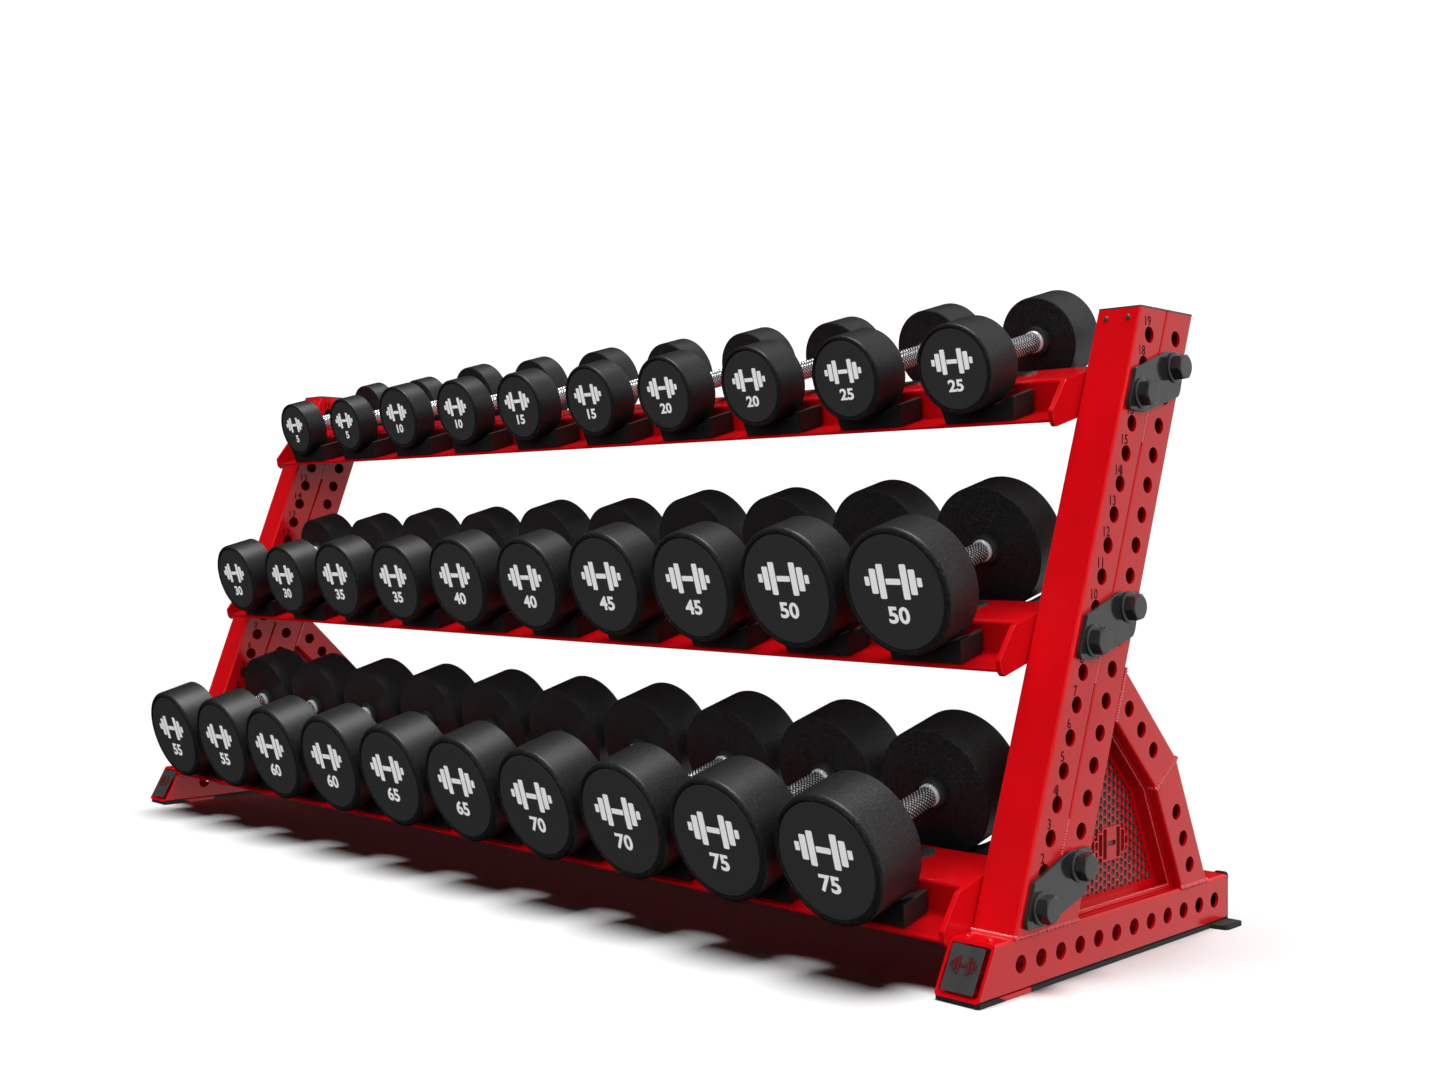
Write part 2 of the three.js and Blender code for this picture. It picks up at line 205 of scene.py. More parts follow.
class Finish:
    def __init__(self, name, colour, roughness, metallic=0.0, coat=0.0, coatRoughness=0.03, specular=0.5):
        self.material = bpy.data.materials.new(name)
        self.material.use_nodes = True
        self.tree = self.material.node_tree
        self.shader = next(n for n in self.tree.nodes if n.type == "BSDF_PRINCIPLED")
        self.colour = colour
        put = self.shader.inputs
        put["Base Color"].default_value = (*colour, 1)
        put["Roughness"].default_value = roughness
        put["Metallic"].default_value = metallic
        put["Coat Weight"].default_value = coat
        put["Coat Roughness"].default_value = coatRoughness
        put["Specular IOR Level"].default_value = specular
        self.material.diffuse_color = (*colour, 1)
        self.place = self.node("ShaderNodeTexCoord", {}, {}, "Object")[0]

    def node(self, kind, settings, inputs, out=None):
        made = self.tree.nodes.new(kind)
        for key, value in settings.items():
            if key == "stops":
                ramp = made.color_ramp
                while len(ramp.elements) < len(value):
                    ramp.elements.new(0.5)
                for element, (position, shade) in zip(ramp.elements, value):
                    element.position = position
                    element.color = shade
            else:
                setattr(made, key, value)
        for key, value in inputs.items():
            if isinstance(value, Wire):
                self.tree.links.new(value.socket, made.inputs[key])
            else:
                made.inputs[key].default_value = value
        outputs = [made.outputs[out]] if out else list(made.outputs)
        return [Wire(self, socket) for socket in outputs]

    def noise(self, scale, detail=3.0, roughness=0.55):
        return self.node("ShaderNodeTexNoise", {}, {"Vector": self.place, "Scale": scale, "Detail": detail, "Roughness": roughness}, "Factor" if False else None)[0]

    def tint(self, factor, low, high):
        inputs = {"Factor": factor, "A": (*low, 1), "B": (*high, 1)}
        made = self.tree.nodes.new("ShaderNodeMix")
        made.data_type = "RGBA"
        self.tree.links.new(factor.socket, made.inputs[0])
        made.inputs[6].default_value = inputs["A"]
        made.inputs[7].default_value = inputs["B"]
        return Wire(self, made.outputs[2])

    def feed(self, name, wire):
        self.tree.links.new(wire.socket, self.shader.inputs[name])

    def bump(self, height, strength, distance):
        made = self.node("ShaderNodeBump", {}, {"Height": height, "Strength": strength, "Distance": distance})[0]
        self.feed("Normal", made)


def paintFinish(name, colour, deep, gloss=0.16, coat=0.0, specular=0.5):
    finish = Finish(name, colour, 0.3, coat=coat, coatRoughness=0.08, specular=specular)
    cloud = finish.noise(9.0, 2.0)
    peel = finish.noise(650.0, 2.0)
    finish.feed("Base Color", finish.tint(cloud.clipped(0.35, 0.7), colour, deep))
    finish.feed("Roughness", gloss + peel * 0.05 + cloud * 0.05)
    finish.bump(peel, 0.08, 0.0003)
    return finish.material


def urethaneFinish(name, colour, light, speckScale, roughness, bump):
    finish = Finish(name, colour, roughness, specular=0.32)
    grain = finish.noise(speckScale, 4.0, 0.75)
    blotch = finish.noise(speckScale * 0.42, 2.0, 0.6)
    cloud = finish.noise(14.0, 2.0)
    speck = grain.clipped(0.5, 0.68) * blotch.clipped(0.36, 0.6)
    finish.feed("Base Color", finish.tint(speck * 0.95 + cloud * 0.05, colour, light))
    finish.feed("Roughness", roughness + grain * 0.16 - cloud * 0.06)
    finish.bump(grain + blotch, bump, 0.0006)
    return finish.material


def plateFinish(name, colour, light, roughness, coat):
    finish = Finish(name, colour, roughness, coat=coat, coatRoughness=0.06, specular=0.5)
    cloud = finish.noise(22.0, 3.0)
    peel = finish.noise(900.0, 2.0)
    finish.feed("Base Color", finish.tint(cloud.clipped(0.3, 0.7), colour, light))
    finish.feed("Roughness", roughness + peel * 0.06 + cloud * 0.04)
    finish.bump(peel, 0.03, 0.0003)
    return finish.material


def chromeFinish(name):
    finish = Finish(name, (0.74, 0.74, 0.75), 0.14, metallic=1.0)
    smear = finish.noise(60.0, 3.0)
    # knurl grooves get a near-black base and the raised points a part-diffuse near-white one: painted shade in the
    # grooves and a painted highlight on the raised points
    valley = finish.node("ShaderNodeAttribute", {"attribute_name": "valley"}, {}, "Fac")[0]
    finish.feed("Base Color", finish.tint(valley * 0.92 + smear * 0.08, (0.95, 0.95, 0.96), (0.035, 0.035, 0.037)))
    finish.feed("Metallic", 0.60 + valley * 0.4)
    finish.feed("Roughness", 0.16 + smear * 0.08)
    return finish.material


def markFinish(name, colour, shade):
    finish = Finish(name, colour, 0.5, specular=0.35)
    grain = finish.noise(1300.0, 2.0)
    finish.feed("Base Color", finish.tint(grain.clipped(0.4, 0.8), colour, shade))
    finish.feed("Roughness", 0.42 + grain * 0.16)
    return finish.material


finishes = {
    "redPaint": paintFinish("redPaint", (0.45, 0.0016, 0.0042), (0.41, 0.0013, 0.0034)),
    # the weld red is lighter and pinker than redPaint: a painted highlight standing in for the glints on the weld beads
    "weldPaint": paintFinish("weldPaint", (0.54, 0.030, 0.034), (0.48, 0.016, 0.020), gloss=0.08, coat=0.8, specular=1.0),
    "urethane": urethaneFinish("urethane", (0.0050, 0.0051, 0.0054), (0.050, 0.050, 0.051), 620.0, 0.36, 0.4),
    "inlay": urethaneFinish("inlayDisc", (0.0290, 0.0292, 0.0296), (0.037, 0.037, 0.038), 1500.0, 0.42, 0.05),
    "hubPlastic": plateFinish("hubPlastic", (0.012, 0.012, 0.012), (0.018, 0.018, 0.018), 0.38, 0.0),
    "chrome": chromeFinish("chromedSteel"),
    "white": markFinish("whiteMark", (0.95, 0.95, 0.95), (0.86, 0.86, 0.86)),
    "darkPlate": plateFinish("darkPlate", (0.012, 0.012, 0.0125), (0.017, 0.017, 0.0175), 0.10, 0.2),
    "capPlate": plateFinish("capPlate", (0.030, 0.030, 0.031), (0.040, 0.040, 0.041), 0.34, 0.1),
    "saddle": urethaneFinish("saddlePlastic", (0.0085, 0.0085, 0.0088), (0.020, 0.020, 0.021), 520.0, 0.46, 0.14),
    "rubber": urethaneFinish("padRubber", (0.016, 0.016, 0.017), (0.036, 0.036, 0.037), 700.0, 0.7, 0.25),
    # dark red given to cut faces: in the hole numbers it is painted shade for the dark inside of numerals cut through
    # the tube; on the front cap it colours the recessed emblem
    "cutShade": plateFinish("cutShade", (0.050, 0.0022, 0.0034), (0.070, 0.0028, 0.004), 0.7, 0.0),
    "backing": plateFinish("backingPlate", (0.055, 0.060, 0.062), (0.075, 0.080, 0.082), 0.3, 0.0),
}
print("finishes made")

# ---------- modelling helpers ----------


def onlyThis(obj):
    for other in list(bpy.context.selected_objects):
        other.select_set(False)
    obj.select_set(True)
    bpy.context.view_layer.objects.active = obj


def startPiece(name, operator, **settings):
    for other in list(bpy.context.selected_objects):
        other.select_set(False)
    operator(**settings)
    obj = bpy.context.view_layer.objects.active
    obj.name = name
    obj.data.name = name
    return obj


def inEdit(obj, mode, steps):
    onlyThis(obj)
    bpy.context.tool_settings.mesh_select_mode = (mode == "vert", mode == "edge", mode == "face")
    bpy.ops.object.mode_set(mode="EDIT")
    steps()
    bpy.ops.object.mode_set(mode="OBJECT")


def pickNothing(mesh):
    for group in (mesh.vertices, mesh.edges, mesh.polygons):
        group.foreach_set("select", [False] * len(group))


def bevelWhere(obj, test, width, segments=3):
    mesh = obj.data
    pickNothing(mesh)
    for edge in mesh.edges:
        a, b = (mesh.vertices[i].co for i in edge.vertices)
        edge.select = bool(test(a, b))
    inEdit(obj, "edge", lambda: bpy.ops.mesh.bevel(offset=width * mm, segments=segments, affect="EDGES"))


def applyAll(obj):
    onlyThis(obj)
    for modifier in list(obj.modifiers):
        bpy.ops.object.modifier_apply(modifier=modifier.name)


def softenEdges(obj, width, segments=2, angle=35):
    mod = obj.modifiers.new("edge", "BEVEL")
    mod.width = width * mm
    mod.segments = segments
    mod.limit_method = "ANGLE"
    mod.angle_limit = math.radians(angle)
    mod.use_clamp_overlap = True
    mod.harden_normals = False
    applyAll(obj)


def cutAway(obj, cutters):
    cutter = joinAll(cutters, obj.name + "Cutter") if len(cutters) > 1 else cutters[0]
    mod = obj.modifiers.new("cut", "BOOLEAN")
    mod.operation = "DIFFERENCE"
    mod.solver = "EXACT"
    mod.material_mode = "TRANSFER"
    mod.object = cutter
    applyAll(obj)
    bpy.data.objects.remove(cutter)


def joinAll(objs, name):
    onlyThis(objs[0])
    for other in objs[1:]:
        other.select_set(True)
    bpy.ops.object.join()
    obj = bpy.context.view_layer.objects.active
    obj.name = name
    obj.data.name = name
    return obj


def paint(obj, *names):
    obj.data.materials.clear()
    for name in names:
        obj.data.materials.append(finishes[name])
    return obj


def roundLook(obj, angle=32):
    onlyThis(obj)
    bpy.ops.object.shade_smooth_by_angle(angle=math.radians(angle))
    weighted = obj.modifiers.new("faceNormals", "WEIGHTED_NORMAL")
    weighted.keep_sharp = True
    applyAll(obj)
    return obj


def prism(name, outline, low, high, place=None):
    obj = startPiece(name, bpy.ops.mesh.primitive_circle_add, vertices=len(outline), radius=0.1, fill_type="NGON")
    for vertex, point in zip(obj.data.vertices, outline):
        vertex.co = (point[0] * mm, point[1] * mm, low * mm)

    def steps():
        bpy.ops.mesh.select_all(action="SELECT")
        bpy.ops.mesh.extrude_region_move(TRANSFORM_OT_translate={"value": (0, 0, (high - low) * mm)})
        bpy.ops.mesh.select_all(action="SELECT")
        bpy.ops.mesh.normals_make_consistent(inside=False)

    inEdit(obj, "face", steps)
    if place is not None:
        obj.data.transform(place)
    return obj


def rod(name, centre, radius, low, high, sides=32, place=None, turn=0.0):
    obj = startPiece(name, bpy.ops.mesh.primitive_cylinder_add, vertices=sides, radius=radius * mm, depth=(high - low) * mm)
    spin = Matrix.Rotation(math.radians(turn), 4, "Z")
    obj.data.transform(Matrix.Translation((centre[0] * mm, centre[1] * mm, (low + high) / 2 * mm)) @ spin)
    if place is not None:
        obj.data.transform(place)
    return obj


def rodsAt(name, centres, radius, low, high, sides, place):
    unit = rod(name, (0, 0), radius, low, high, sides)
    made = copiesOf(unit, [Matrix.Translation((y * mm, z * mm, 0)) for y, z in centres], name)
    bpy.data.objects.remove(unit)
    made.data.transform(place)
    return made


def copiesOf(unit, matrices, name):
    mesh = unit.data
    points, faces, slots = [], [], []
    for matrix in matrices:
        start = len(points)
        points.extend(matrix @ v.co for v in mesh.vertices)
        faces.extend([start + i for i in p.vertices] for p in mesh.polygons)
        slots.extend(p.material_index for p in mesh.polygons)
    made = bpy.data.meshes.new(name)
    made.from_pydata(points, [], faces)
    for material in mesh.materials:
        made.materials.append(material)
    made.polygons.foreach_set("material_index", slots)
    made.update()
    if "valley" in mesh.attributes:
        depths = [d.value for d in mesh.attributes["valley"].data]
        made.attributes.new("valley", "FLOAT", "POINT").data.foreach_set("value", depths * len(matrices))
    obj = bpy.data.objects.new(name, made)
    bpy.context.scene.collection.objects.link(obj)
    return obj


def turned(name, profile, steps, axis=(0, 1, 0)):
    obj = startPiece(name, bpy.ops.mesh.primitive_circle_add, vertices=len(profile), radius=0.1, fill_type="NOTHING")
    for vertex, (radius, along) in zip(obj.data.vertices, profile):
        vertex.co = (radius * mm, along * mm, 0) if axis[1] else (radius * mm, 0, along * mm)
    pickNothing(obj.data)
    last = {0, len(profile) - 1}
    for edge in obj.data.edges:
        edge.select = set(edge.vertices) == last

    def sweepRound():
        bpy.ops.mesh.delete(type="EDGE")
        bpy.ops.mesh.select_all(action="SELECT")
        bpy.ops.mesh.spin(steps=steps, angle=2 * math.pi, center=(0, 0, 0), axis=axis)
        bpy.ops.mesh.select_all(action="SELECT")
        bpy.ops.mesh.remove_doubles(threshold=0.00002)
        bpy.ops.mesh.normals_make_consistent(inside=False)

    inEdit(obj, "edge", sweepRound)
    return obj


def lettering(name, words, height, depth, bold=0.0):
    obj = startPiece(name, bpy.ops.object.text_add)
    obj.data.body = words
    obj.data.align_x = "CENTER"
    obj.data.extrude = 0.5
    obj.data.offset = bold
    obj.data.resolution_u = 3
    onlyThis(obj)
    bpy.ops.object.convert(target="MESH")
    obj = bpy.context.view_layer.objects.active
    obj.name = name
    ys = [v.co.y for v in obj.data.vertices]
    xs = [v.co.x for v in obj.data.vertices]
    size = height * mm / (max(ys) - min(ys))
    centre = Vector(((max(xs) + min(xs)) / 2, (max(ys) + min(ys)) / 2, 0))
    obj.data.transform(Matrix.Diagonal((size, size, depth * mm, 1)) @ Matrix.Translation(-centre))

    def weldUp():
        bpy.ops.mesh.select_all(action="SELECT")
        bpy.ops.mesh.remove_doubles(threshold=0.00001)
        bpy.ops.mesh.normals_make_consistent(inside=False)

    inEdit(obj, "vert", weldUp)
    return obj


# the plain emblem is a small bar with two plates at each end, as blocks (centre, half width, half height)
emblemBlocks = [(0.0, 0.125, 0.085), (0.20, 0.055, 0.50), (-0.20, 0.055, 0.50), (0.335, 0.055, 0.36),
                (-0.335, 0.055, 0.36), (0.45, 0.04, 0.13), (-0.45, 0.04, 0.13)]


def emblem(name, width, height, depth, grow=0.0):
    parts = []
    for centre, halfWide, halfHigh in emblemBlocks:
        w, h = halfWide * width + grow, halfHigh * height + grow
        cx = centre * width
        part = prism(name, [(cx - w, -h), (cx + w, -h), (cx + w, h), (cx - w, h)], -depth / 2, depth / 2)
        bevelWhere(part, lambda a, b: abs(a.z - b.z) > 1e-6, min(w, h) * 0.35, 2)
        parts.append(part)
    return joinAll(parts, name)


beadShape = {"length": 2.8, "width": 4.5, "height": 2.4, "pitch": 4.1}


def makeBead():
    bead = startPiece("weldBead", bpy.ops.mesh.primitive_uv_sphere_add, segments=6, ring_count=4, radius=1)
    k = beadShape
    bead.data.transform(Matrix.Diagonal((k["length"] * mm, k["width"] * mm, k["height"] * mm, 1)))
    bead.data.transform(Matrix.Rotation(0.35, 4, "Y"))
    # the beads take the lightened weld red, which carries a painted highlight
    paint(bead, "weldPaint")
    bead.data.polygons.foreach_set("use_smooth", [True] * len(bead.data.polygons))
    return bead


def beadsAlong(bead, start, end, up, scale=1.0):
    a, b = Vector(start), Vector(end)
    run = b - a
    count = max(2, int(run.length / (beadShape["pitch"] * mm * scale)))
    forward, top = run.normalized(), Vector(up).normalized()
    side = top.cross(forward)
    turn = Matrix((forward, side, top)).transposed().to_4x4()
    found = []
    for i in range(count + 1):
        wobble = 1 + 0.12 * math.sin(i * 2.4) + 0.06 * math.sin(i * 5.1)
        place = Matrix.Translation(a + run * (i / count))
        found.append(place @ turn @ Matrix.Diagonal((scale, scale * wobble, scale * wobble, 1)))
    return found


def settle(obj, body, slot, *nodes):
    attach(obj, body)
    if nodes:
        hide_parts(*nodes)
    return obj


# ---------- end frames ----------

frameDetail = {
    "numberHeight": 16.0,
    "numberBold": 0.014,
    "numberOffset": (-3.8, 21.8),
    "numberDepth": 1.6,
    "capLip": 3.0,
    "screwRadius": 4.6,
    "hexRadius": 8.1,
    "hexWall": 1.3,
    "gussetRecess": 45.0,
}


def hollowTube(name, outline, bore, x0, x1, longEdge, holes):
    tube = prism(name, outline, x0, x1, sideways)
    bevelWhere(tube, longEdge, rackPlan["edgeRadius"], 4)
    wall = rackPlan["wall"]
    cutter = prism(name + "Bore", bore, x0 + wall, x1 - wall, sideways)
    bevelWhere(cutter, longEdge, 2.5, 2)
    cutAway(tube, [cutter])
    drill = rodsAt(name + "Drill", holes, rackPlan["holeRadius"], x0 - 6, x1 + 6, 32, sideways)
    cutAway(tube, [drill])
    return tube


def isAlong(direction, tolerance=0.9995):
    aim = Vector((0, direction[0], direction[1])).normalized()

    def test(a, b):
        run = b - a
        return run.length > 0.03 and abs(run.normalized().dot(aim)) > tolerance
    return test


def numberCutters(x0, x1, side):
    made = []
    depth = frameDetail["numberDepth"]
    outX, inX, outSign = (x1, x0, 1) if side == "right" else (x0, x1, -1)
    for index in range(rackPlan["uprightHoles"]):
        y, z = columnHole(False, index)
        y += frameDetail["numberOffset"][0]
        z += frameDetail["numberOffset"][1]
        if z > rackPlan["height"] - 12:
            continue
        for faceX, sign in ((outX, outSign), (inX, -outSign)):
            word = lettering("holeNumber", str(index + 1), frameDetail["numberHeight"], 2 * depth, frameDetail["numberBold"])
            # text right = +Y when seen from +X, and -Y when seen from -X
            place = Matrix(((0, 0, sign, faceX * mm), (sign, 0, 0, y * mm + shiftY), (0, 1, 0, z * mm), (0, 0, 0, 1)))
            word.data.transform(place)
            # the number cut faces take painted shade in dark red
            paint(word, "cutShade")
            made.append(word)
    return made


def makeFrame(side):
    low, high = tubeBox[side]
    x0, x1 = low.x / mm, high.x / mm
    plan = rackPlan
    wall = plan["wall"]
    inner = half - wall
    outSign = 1 if side == "right" else -1

    base = hollowTube(
        "baseTube_" + side,
        [(plan["baseFrontLow"], plan["baseLow"]), (plan["baseRear"], plan["baseLow"]), (plan["baseRear"], baseTop), (plan["baseFrontHigh"], baseTop)],
        [(-900, plan["baseLow"] + wall), (900, plan["baseLow"] + wall), (900, baseTop - wall), (-900, baseTop - wall)],
        x0, x1, isAlong((1, 0)),
        [((i - (plan["baseHoles"] - 1) / 2) * plan["pitch"], plan["baseLow"] + half) for i in range(plan["baseHoles"])],
    )
    block = prism("weldBlock", [(-332.7, plan["baseLow"] - 0.05), (-314, 0.3), (-252.5, 0.3), (-252.5, plan["baseLow"] - 0.05)], x0 + 0.3, x1 - 0.3, sideways)
    softenEdges(block, 1.2)
    base = joinAll([base, block], "baseTube_" + side)
    paintRed(base, "rack", "base_tube_" + side)

    tubes = []
    numbers = numberCutters(x0, x1, side)
    for column, across in ((False, 0), (True, plan["tube"])):
        outline = leaningStrip(across - half + 0.05, across + half - 0.05, baseTop, plan["height"])
        bore = leaningStrip(across - inner, across + inner, 0, plan["height"] + 200)
        holes = [columnHole(column, i) for i in range(plan["uprightHoles"])]
        tube = hollowTube("upright", outline, bore, x0, x1, isAlong(leanDir), holes)
        paint(tube, "redPaint")
        if not column:
            cutAway(tube, numbers)
        tubes.append(tube)
    uprights = joinAll(tubes, "uprights_" + side)
    roundLook(uprights)
    settle(uprights, "rack", "red_paint", "uprights_" + side)

    makeBrace(side, x0, x1)
    makeGusset(side, x0, x1, outSign)
    makeFrameEnds(side, x0, x1, outSign)
    makeWelds(side, x0, x1, outSign)


def paintRed(obj, body, *nodes):
    paint(obj, "redPaint")
    roundLook(obj)
    return settle(obj, body, "red_paint", *nodes)


uprightRear = (rackPlan["firstHole"][0] + backDir[0] * (half + rackPlan["tube"]), rackPlan["firstHole"][1] + backDir[1] * (half + rackPlan["tube"]))


def braceLines(w, overrun):
    angle, y, z = rackPlan["upperBrace"]
    upDir = (math.sin(math.radians(angle)), -math.cos(math.radians(angle)))
    up = (y, z)
    angle, y, z = rackPlan["lowerBrace"]
    lowDir = (math.sin(math.radians(angle)), -math.cos(math.radians(angle)))
    low = (y, z)
    face = (uprightRear[0] - backDir[0] * overrun, uprightRear[1] - backDir[1] * overrun)
    ground = (0, baseTop - overrun)

    def beside(p, d, k):
        return (p[0] + d[1] * k, p[1] - d[0] * k)
    return upDir, lowDir, beside(up, upDir, -w), beside(up, upDir, w), beside(low, lowDir, -w), beside(low, lowDir, w), face, ground


def braceOutline(w, overrun):
    upDir, lowDir, upOut, upIn, lowOut, lowIn, face, ground = braceLines(w, overrun)
    return [
        cross2(upIn, upDir, face, leanDir), cross2(upIn, upDir, lowIn, lowDir), cross2(lowIn, lowDir, ground, (1, 0)),
        cross2(lowOut, lowDir, ground, (1, 0)), cross2(upOut, upDir, lowOut, lowDir), cross2(upOut, upDir, face, leanDir),
    ]


def braceHoles():
    found = []
    for angle, y, z in (rackPlan["upperBrace"], rackPlan["lowerBrace"]):
        for k in (-1, 0, 1):
            d = k * rackPlan["pitch"]
            found.append((y + math.sin(math.radians(angle)) * d, z - math.cos(math.radians(angle)) * d))
    return found


def makeBrace(side, x0, x1):
    upDir, lowDir = braceLines(0, 0)[:2]
    isUp, isLow = isAlong(upDir), isAlong(lowDir)
    brace = hollowTube(
        "rearBrace_" + side, braceOutline(half, 0), braceOutline(half - rackPlan["wall"], 40), x0, x1,
        lambda a, b: isUp(a, b) or isLow(a, b), braceHoles(),
    )
    paintRed(brace, "rack", "rear_brace_" + side)


def gussetOutline(w):
    upDir, lowDir, upOut, upIn, lowOut, lowIn, face, ground = braceLines(half + w, 0)
    rear = (uprightRear[0] + backDir[0] * w, uprightRear[1] + backDir[1] * w)
    floor = (0, baseTop + w)
    return [
        cross2(rear, leanDir, floor, (1, 0)), cross2(lowIn, lowDir, floor, (1, 0)),
        cross2(upIn, upDir, lowIn, lowDir), cross2(upIn, upDir, rear, leanDir),
    ]


def clipTo(obj, outline):
    count = len(outline)
    cy = sum(p[0] for p in outline) / count
    cz = sum(p[1] for p in outline) / count
    for i in range(count):
        a, b = outline[i], outline[(i + 1) % count]
        normal = Vector((b[1] - a[1], a[0] - b[0], 0))
        normal.normalize()
        if normal.dot(Vector((cy - a[0], cz - a[1], 0))) > 0:
            normal = -normal

        def steps():
            bpy.ops.mesh.select_all(action="SELECT")
            bpy.ops.mesh.bisect(plane_co=(a[0] * mm, a[1] * mm, 0), plane_no=normal, clear_outer=True, clear_inner=False)

        inEdit(obj, "vert", steps)


def honeycomb(outline):
    r = frameDetail["hexRadius"] * mm
    cell = startPiece("honeycombCell", bpy.ops.mesh.primitive_circle_add, vertices=6, radius=r, fill_type="NGON")
    cell.data.transform(Matrix.Rotation(math.radians(90), 4, "Z"))

    def open6():
        bpy.ops.mesh.select_all(action="SELECT")
        bpy.ops.mesh.inset(thickness=frameDetail["hexWall"] * mm, depth=0)
        bpy.ops.mesh.delete(type="FACE")

    inEdit(cell, "face", open6)
    low = Vector((min(p[0] for p in outline), min(p[1] for p in outline), 0)) * mm
    high = Vector((max(p[0] for p in outline), max(p[1] for p in outline), 0)) * mm
    places = []
    column, y = 0, low.x
    while y < high.x + r:
        z = low.y + (r * math.sqrt(3) / 2 if column % 2 else 0)
        while z < high.y + r:
            places.append(Matrix.Translation((y, z, 0)))
            z += r * math.sqrt(3)
        y += 1.5 * r
        column += 1
    sheet = copiesOf(cell, places, "honeycomb")
    bpy.data.objects.remove(cell)
    clipTo(sheet, outline)

    def merge():
        bpy.ops.mesh.select_all(action="SELECT")
        bpy.ops.mesh.remove_doubles(threshold=0.00008)
        bpy.ops.mesh.normals_make_consistent(inside=False)

    inEdit(sheet, "vert", merge)
    return sheet


def makeGusset(side, x0, x1, outSign):
    outX = x1 if outSign > 0 else x0
    faceX = outX - outSign * frameDetail["gussetRecess"]
    place = Matrix(((0, 0, 1, 0), (1, 0, 0, shiftY), (0, 1, 0, 0), (0, 0, 0, 1)))
    outer, window = gussetOutline(0.2), gussetOutline(13.0)
    web = honeycomb(gussetOutline(12.5))
    thick = web.modifiers.new("thick", "SOLIDIFY")
    thick.thickness = 1.8 * mm
    thick.offset = 0
    applyAll(web)
    border = prism("gussetBorder", outer, -2.2, 2.2)
    hole = prism("gussetWindow", window, -6, 6)
    cutAway(border, [hole])
    centreY = sum(p[0] for p in window) / 4 + 2
    centreZ = sum(p[1] for p in window) / 4 - 26
    badgeWide, badgeHigh = 96.0, 48.0
    middle = Matrix.Translation((centreY * mm, centreZ * mm, 0))
    badge, blank = makeBadge(badgeWide, badgeHigh)
    badge.data.transform(middle)
    blank.data.transform(middle)
    cutAway(web, [blank])
    onlyThis(badge)
    inEdit(badge, "vert", lambda: (bpy.ops.mesh.select_all(action="SELECT"), bpy.ops.mesh.normals_make_consistent(inside=False)))
    front = joinAll([web, border, badge], "gusset_" + side)
    front.data.transform(Matrix.Translation((0, 0, faceX * mm)))
    front.data.transform(place)
    flanges = flangeStrips(x0, x1)
    front = joinAll([front, flanges], "gusset_" + side)
    paint(front, "redPaint")
    roundLook(front, 25)
    settle(front, "rack", "red_paint", "gusset_" + side)
    backPlate = prism("gussetBacking_" + side, gussetOutline(1.0), -1.6, 1.6)
    backPlate.data.transform(Matrix.Translation((0, 0, (faceX - outSign * 4.4) * mm)))
    backPlate.data.transform(place)
    softenEdges(backPlate, 0.4, 1)
    paint(backPlate, "backing")
    settle(backPlate, "rack", "dark_plate")


def makeBadge(wide, high):
    rim = 3.0
    steps = [(0.49 * wide + rim, 0.13 * high + rim), (0.39 * wide + rim, 0.13 * high + rim), (0.39 * wide + rim, 0.36 * high + rim),
             (0.255 * wide + rim, 0.36 * high + rim), (0.255 * wide + rim, 0.50 * high + rim)]
    right = [(x, -y) for x, y in reversed(steps)] + steps
    outline = right + [(-x, -y) for x, y in right]
    badge = prism("gussetBadge", outline, -2.6, 2.6)
    cutAway(badge, [emblem("badgeCut", wide, high, 12.0)])
    blank = prism("badgeBlank", [(x * 0.985, y * 0.985) for x, y in outline], -9, 9)
    return badge, blank


def flangeStrips(x0, x1):
    outer, inside = gussetOutline(0.15), gussetOutline(3.4)
    ring = prism("gussetFlange", outer, x0 + 16, x1 - 16)
    hole = prism("gussetFlangeHole", inside, x0 + 5, x1 - 5)
    cutAway(ring, [hole])
    softenEdges(ring, 0.8, 1)
    ring.data.transform(sideways)
    return ring


